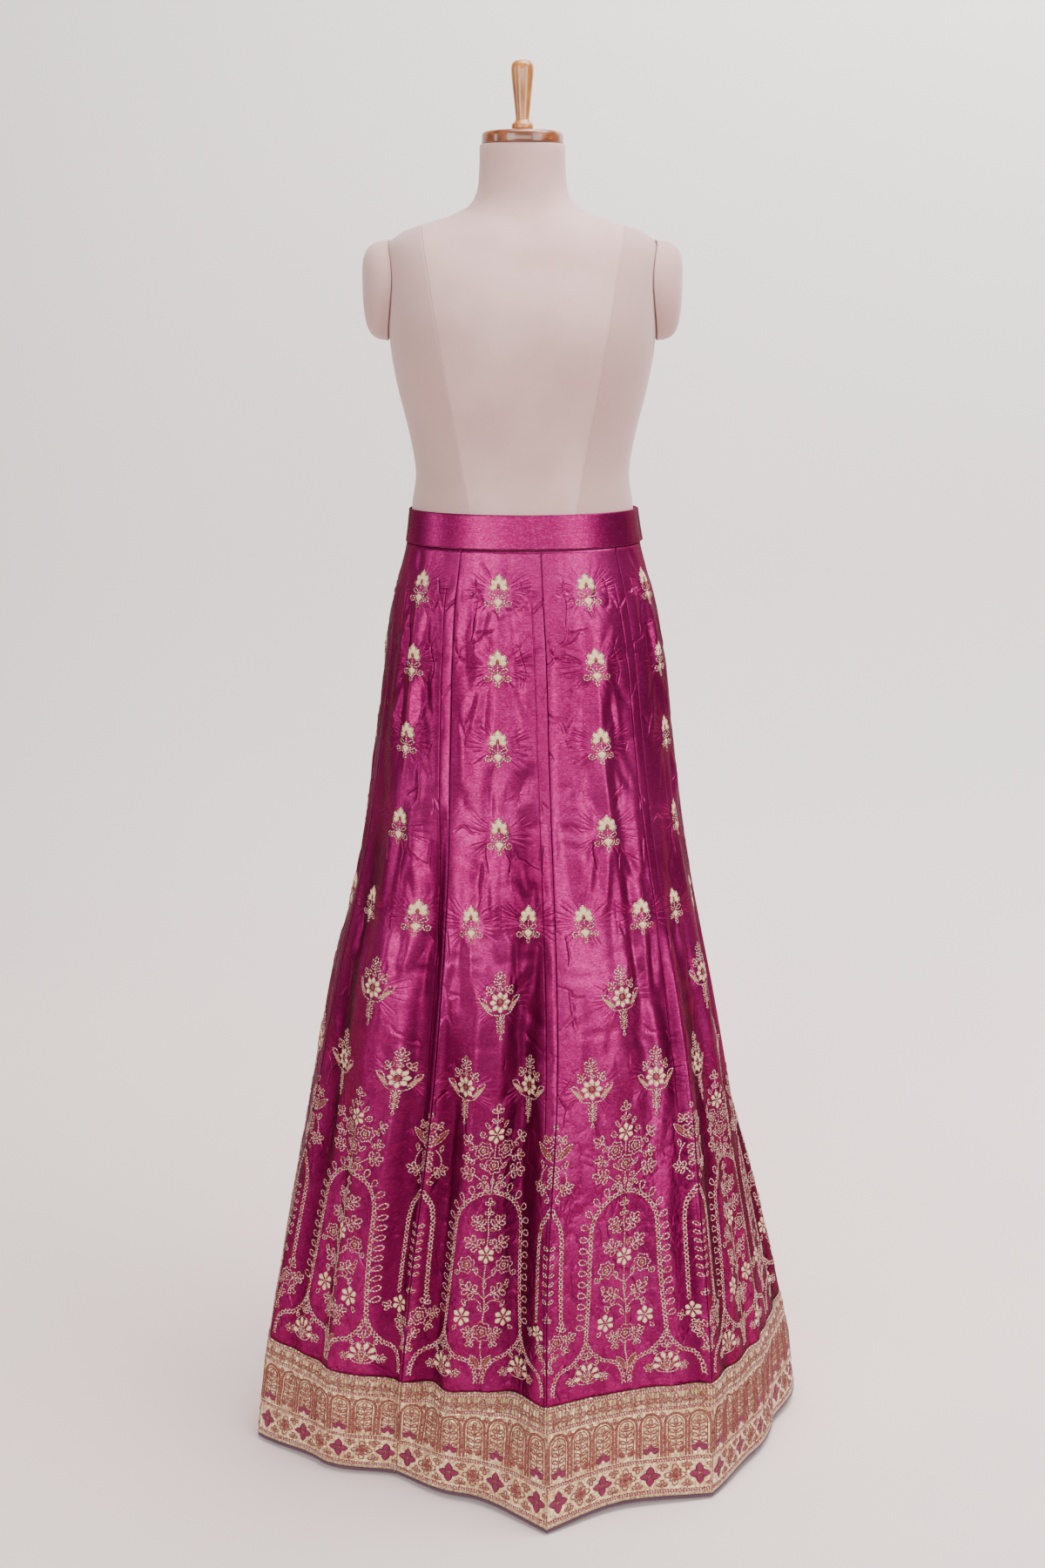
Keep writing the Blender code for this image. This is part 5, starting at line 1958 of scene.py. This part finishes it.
def border_shares(x, y):
    """Where the plain border's thread work comes on any border."""
    return x / (BORDER_WIDE * MM) + 0.5, 1.0 - y / (BORDER_TALL * MM)


def gore_area(index, low, high):
    """The flat area of a gore between two heights, and its length along its middle."""
    heights = np.linspace(low, high, AREA_STEPS)
    across = np.full(heights.shape, 0.5)
    middle, _ = skirt_point(index, GORE_MAPS[index].turn(across, heights), heights)
    steps = np.linalg.norm(np.diff(middle, axis=0), axis=-1)
    widths = GORE_MAPS[index].width(heights)
    return float(np.sum(0.5 * (widths[1:] + widths[:-1]) * steps)), float(steps.sum())


GORE_FLAT = flat_gore()
BORDER_FLAT = flat_border()

band = waistband_cloth().mesh("waistband_cloth", 0.0)
band_piece = piece("waistband_cloth", band, TAFFETA, "taffeta", "waistband")
thicken(band_piece, BAND_WALL - SEAM_GAP)

for index in GORES:
    number = f"{index + 1:02d}"
    cloth = gore_cloth(index)
    name = f"gore_cloth_{number}"
    gore = piece(name, cloth.mesh(name, TUCK), TAFFETA, "taffeta", f"gore_{number}")
    thicken(gore, CLOTH_WALL)
    gore_thread = lay_work(f"gore_thread_{number}", GORE_FLAT, cloth, gore_shares(index))
    area, length = gore_area(index, float(border_top(index, 0.5)), BAND_FOOT)
    strip = border_cloth(index)
    name = f"border_cloth_{number}"
    border = piece(name, strip.mesh(name, BORDER_TUCK), BROCADE, "brocade", f"border_{number}")
    thicken(border, CLOTH_WALL)
    border_thread = lay_work(f"border_thread_{number}", BORDER_FLAT, strip, border_shares)
    roll = piece(f"hem_roll_{number}", hem_roll(index), PIPING, "piping", f"hem_piping_{number}")
    area, length = gore_area(index, BORDER_FOOT, float(border_top(index, 0.5)))


# ======== the form
BODY_SEGMENTS = 96
CAP_SEGMENTS = 72
TURNED_SEGMENTS = 80
RING_PITCH = 0.011
BAND_INSET = BAND_WALL - BAND_PROUD + SEAM_GAP
NECK_ROUND = 0.0016
NECK_EASE = 0.0005
# How finely the turned wood's profiles are drawn.
DISC_STEPS = 3
HANDLE_STEPS = 4


def ring_loft(segments, rows, place):
    """A closed body through rings. place(turns, row) gives one ring's corners."""
    shape = bmesh.new()
    bmesh.ops.create_circle(shape, cap_ends=True, segments=segments, radius=1.0)
    lid = shape.faces[:]
    for row in range(1, rows):
        grown = bmesh.ops.extrude_face_region(shape, geom=lid)
        if row > 1:
            bmesh.ops.delete(shape, geom=lid, context="FACES_ONLY")
        lid = [item for item in grown["geom"] if isinstance(item, bmesh.types.BMFace)]
        bmesh.ops.translate(shape, verts=new_corners(grown), vec=(0.0, 0.0, 1.0))
    turns = np.degrees([math.atan2(corner.co.x, -corner.co.y) for corner in shape.verts])
    levels = np.array([round(corner.co.z) for corner in shape.verts])
    spots = place(turns, levels)
    for corner, spot in zip(shape.verts, spots):
        corner.co = spot
    bmesh.ops.recalc_face_normals(shape, faces=shape.faces[:])
    return to_data(shape, "loft")


def torso_table():
    """The form's rings as columns, with the seat of the waistband among them."""
    sizes = curve_through(RING_PLACES, RING_VALUES, np.array(SEAT_HEIGHTS))
    seat = [
        (height, *(row[:3] - BAND_INSET), 2.0) for height, row in zip(SEAT_HEIGHTS, sizes)
    ]
    return np.array([*FORM_BELOW_BAND, *seat, *FORM_ABOVE_BAND])


TORSO = torso_table()
TORSO_TOP_DOWN = TORSO[::-1]


def torso_heights():
    """Ring heights close enough for a smooth torso."""
    heights = [TORSO[0, 0]]
    for low, high in zip(TORSO[:-1, 0], TORSO[1:, 0]):
        count = max(1, math.ceil((high - low) / RING_PITCH))
        heights += list(np.linspace(low, high, count + 1)[1:])
    return np.array(heights)


def torso_corners(turns, height, inset):
    """Corners of the torso's skin at these turns and heights."""
    sizes = curve_through(TORSO_TOP_DOWN[:, 0], TORSO_TOP_DOWN[:, 1:], height)
    half_width, half_front, half_back, roundness = np.moveaxis(sizes, -1, 0)
    sine, cosine = np.sin(np.radians(turns)), np.cos(np.radians(turns))
    depth = np.where(cosine > 0.0, half_front, half_back) - inset
    power = 2.0 / roundness
    return stack(
        (half_width - inset) * np.sign(sine) * np.abs(sine) ** power,
        -depth * np.sign(cosine) * np.abs(cosine) ** power,
        height,
    )


def torso_cover():
    """The padded torso, drawn in under the waistband and rounded at the neck."""
    heights = torso_heights()
    neck = [NECK_TOP - NECK_ROUND, NECK_TOP - NECK_EASE, NECK_TOP]
    heights = np.concatenate([heights[:-1], neck])
    insets = np.zeros(len(heights))
    insets[-2:] = (NECK_EASE, NECK_ROUND)

    def place(turns, levels):
        height = heights[levels]
        skin = torso_corners(turns, height, insets[levels])
        held, outward = ring_point(turns, height)
        seated = (height >= SEAT_HEIGHTS[0] - 1e-6) & (height <= SEAT_HEIGHTS[-1] + 1e-6)
        return np.where(seated[:, None], held - outward * BAND_INSET, skin)
    return ring_loft(BODY_SEGMENTS, len(heights), place)


def torso_side(depth, height):
    """The torso's half width at a height and a distance in front of the axis."""
    rings = np.array(FORM_ABOVE_BAND[::-1])
    sizes = curve_through(rings[:, 0], rings[:, 1:], height)
    half_width, half_front, half_back, roundness = np.moveaxis(sizes, -1, 0)
    reach = np.where(depth < 0.0, half_front, half_back)
    share = np.minimum(np.abs(depth) / reach, 1.0)
    return half_width * (1.0 - share ** roundness) ** (1.0 / roundness)


def shoulder_cover(side):
    """A domed cover over a cut shoulder, with a welt where it is sewn on."""
    dome = curve(CAP_DOME_ROWS, 3)
    welt = [complex(*row) for row in CAP_WELT]
    rows = np.concatenate([welt, dome[dome.imag > welt[-1].imag + 0.01]])

    def place(turns, levels):
        spread, rise = rows.real[levels], rows.imag[levels]
        angle = np.radians(turns)
        depth = CAP_SHIFT_Y + CAP_HALF_DEPTH * spread * np.sin(angle)
        height = CAP_HEIGHT + CAP_HALF_HEIGHT * spread * np.cos(angle)
        seat = torso_side(depth, height) + CAP_SEAT
        return stack(side * (seat + CAP_DOME * rise), depth, height)
    return ring_loft(CAP_SEGMENTS, len(rows), place)


def turned_wood(profile, foot, steps):
    """A piece turned on the form's axis through a smooth profile."""
    outline = curve(profile, steps)
    shape = bmesh.new()
    points = [complex(0.0, outline[0].imag)] + list(outline) + [complex(0.0, outline[-1].imag)]
    corners = [shape.verts.new((point.real, 0.0, foot + point.imag)) for point in points]
    edges = [shape.edges.new(pair) for pair in zip(corners, corners[1:])]
    bmesh.ops.spin(
        shape, geom=corners + edges, cent=(0.0, 0.0, 0.0), axis=(0.0, 0.0, 1.0),
        angle=math.tau, steps=TURNED_SEGMENTS, use_merge=True,
    )
    bmesh.ops.remove_doubles(shape, verts=shape.verts[:], dist=1e-7)
    bmesh.ops.recalc_face_normals(shape, faces=shape.faces[:])
    return to_data(shape, "turned_wood")


torso = piece("torso_cover", torso_cover(), JERSEY, "jersey", "form_body")
for hand, side in (("left", -1.0), ("right", 1.0)):
    dome = shoulder_cover(side)
    cover = piece(f"shoulder_cover_{hand}", dome, JERSEY, "jersey", f"shoulder_cap_{hand}")
disc_foot = NECK_TOP + SEAM_GAP
handle_foot = disc_foot + DISC_HEIGHT + SEAM_GAP
disc = turned_wood(DISC_PROFILE, disc_foot, DISC_STEPS)
handle = turned_wood(HANDLE_PROFILE, handle_foot, HANDLE_STEPS)
piece("neck_disc_turned", disc, RED_WOOD, "disc_wood", "neck_disc")
piece("neck_handle_turned", handle, AMBER_WOOD, "handle_wood", "neck_handle")
for name in ("stand_pole", "stand_base"):
    solid = bpy.data.objects[name]
    for slot in solid.material_slots:
        slot.material = ENAMEL

# ======== the studio
SWEEP_WIDTH = 5.0
SWEEP_LENGTH = 5.4
SWEEP_FRONT = 1.4
SWEEP_BEND_START = 0.55
SWEEP_BEND = 0.9
SWEEP_ROWS = 40

Light = namedtuple("Light", "name place aim width height power colour")
NEUTRAL = (1.0, 1.0, 1.0)
WARM = (1.0, 0.985, 0.965)
LIGHTS = table(
    Light,
    ("key", (-1.9, -2.9, 1.5), (0.0, 0.0, 0.65), 1.3, 2.2, 75.0, WARM),
    ("second", (2.3, -2.5, 1.5), (0.0, 0.0, 0.65), 1.5, 2.2, 76.0, NEUTRAL),
    ("front", (0.0, -3.7, 1.58), (0.0, 0.0, 1.00), 3.2, 0.8, 56.0, NEUTRAL),
    ("floor", (0.0, -0.7, 4.2), (0.0, -0.3, 0.0), 2.0, 2.0, 92.0, NEUTRAL),
    ("paper", (1.3, 0.15, 3.3), (1.8, 2.0, 1.1), 2.4, 2.4, 208.0, NEUTRAL),
    ("side", (-3.0, -0.5, 1.3), (0.0, 0.0, 0.60), 0.4, 2.0, 20.0, NEUTRAL),
)

# The room lights the part a little. The wall is what the camera sees past the paper.
ROOM_COLOUR = (0.96, 0.97, 1.0, 1.0)
ROOM_STRENGTH = 0.09
WALL_COLOUR = (0.80, 0.76, 0.74, 1.0)
WALL_STRENGTH = 1.35

LENS = 50.0
SENSOR_WIDTH = 36.0
CAMERA_PLACE = (0.0, -2.5, 1.35)
CAMERA_DIP = 12.5


def studio_sweep():
    """A floor that curves up into a backdrop."""
    shape = bmesh.new()
    bmesh.ops.create_grid(shape, x_segments=2, y_segments=SWEEP_ROWS, size=0.5)
    for corner in shape.verts:
        run = (corner.co.y + 0.5) * SWEEP_LENGTH - SWEEP_FRONT
        angle = min(max((run - SWEEP_BEND_START) / SWEEP_BEND, 0.0), 0.5 * math.pi)
        past = max(run - SWEEP_BEND_START - SWEEP_BEND * 0.5 * math.pi, 0.0)
        corner.co = (
            SWEEP_WIDTH * corner.co.x,
            min(run, SWEEP_BEND_START) + SWEEP_BEND * math.sin(angle),
            SWEEP_BEND * (1.0 - math.cos(angle)) + past,
        )
    data = to_data(shape, "studio_sweep")
    data.materials.append(studio_finish())
    data.shade_smooth()
    made = bpy.data.objects.new("studio_sweep", data)
    bpy.context.scene.collection.objects.link(made)


def soft_light(light):
    """A soft box that faces a point."""
    lamp = bpy.data.lights.new(light.name, "AREA")
    lamp.shape = "RECTANGLE"
    lamp.size = light.width
    lamp.size_y = light.height
    lamp.energy = light.power
    lamp.color = light.colour
    made = bpy.data.objects.new(light.name, lamp)
    made.location = light.place
    way_there = Vector(light.aim) - Vector(light.place)
    made.rotation_euler = way_there.to_track_quat("-Z", "Y").to_euler()
    bpy.context.scene.collection.objects.link(made)


def pale_room():
    """The world: a dim light on the part, and a pale wall that only the camera sees."""
    world = bpy.data.worlds.new("pale_room")
    world.use_nodes = True
    nodes, links = world.node_tree.nodes, world.node_tree.links
    room = nodes["Background"]
    wall = nodes.new("ShaderNodeBackground")
    for glow, colour, strength in (
        (room, ROOM_COLOUR, ROOM_STRENGTH), (wall, WALL_COLOUR, WALL_STRENGTH),
    ):
        glow.inputs["Color"].default_value = colour
        glow.inputs["Strength"].default_value = strength
    straight = nodes.new("ShaderNodeLightPath")
    seen = nodes.new("ShaderNodeMixShader")
    sources = (straight.outputs["Is Camera Ray"], room.outputs[0], wall.outputs[0])
    for socket, source in zip(seen.inputs, sources):
        links.new(source, socket)
    links.new(seen.outputs[0], nodes["World Output"].inputs["Surface"])
    return world


def look_from_the_front():
    """The camera, in front of the part and a little above its middle."""
    lens = bpy.data.cameras.new("camera")
    lens.lens = LENS
    lens.sensor_width = SENSOR_WIDTH
    camera = bpy.data.objects.new("camera", lens)
    camera.location = CAMERA_PLACE
    camera.rotation_euler = (math.radians(90.0 - CAMERA_DIP), 0.0, 0.0)
    bpy.context.scene.collection.objects.link(camera)
    return camera


studio_sweep()
for light in LIGHTS:
    soft_light(light)
bpy.context.scene.world = pale_room()
bpy.context.scene.camera = look_from_the_front()
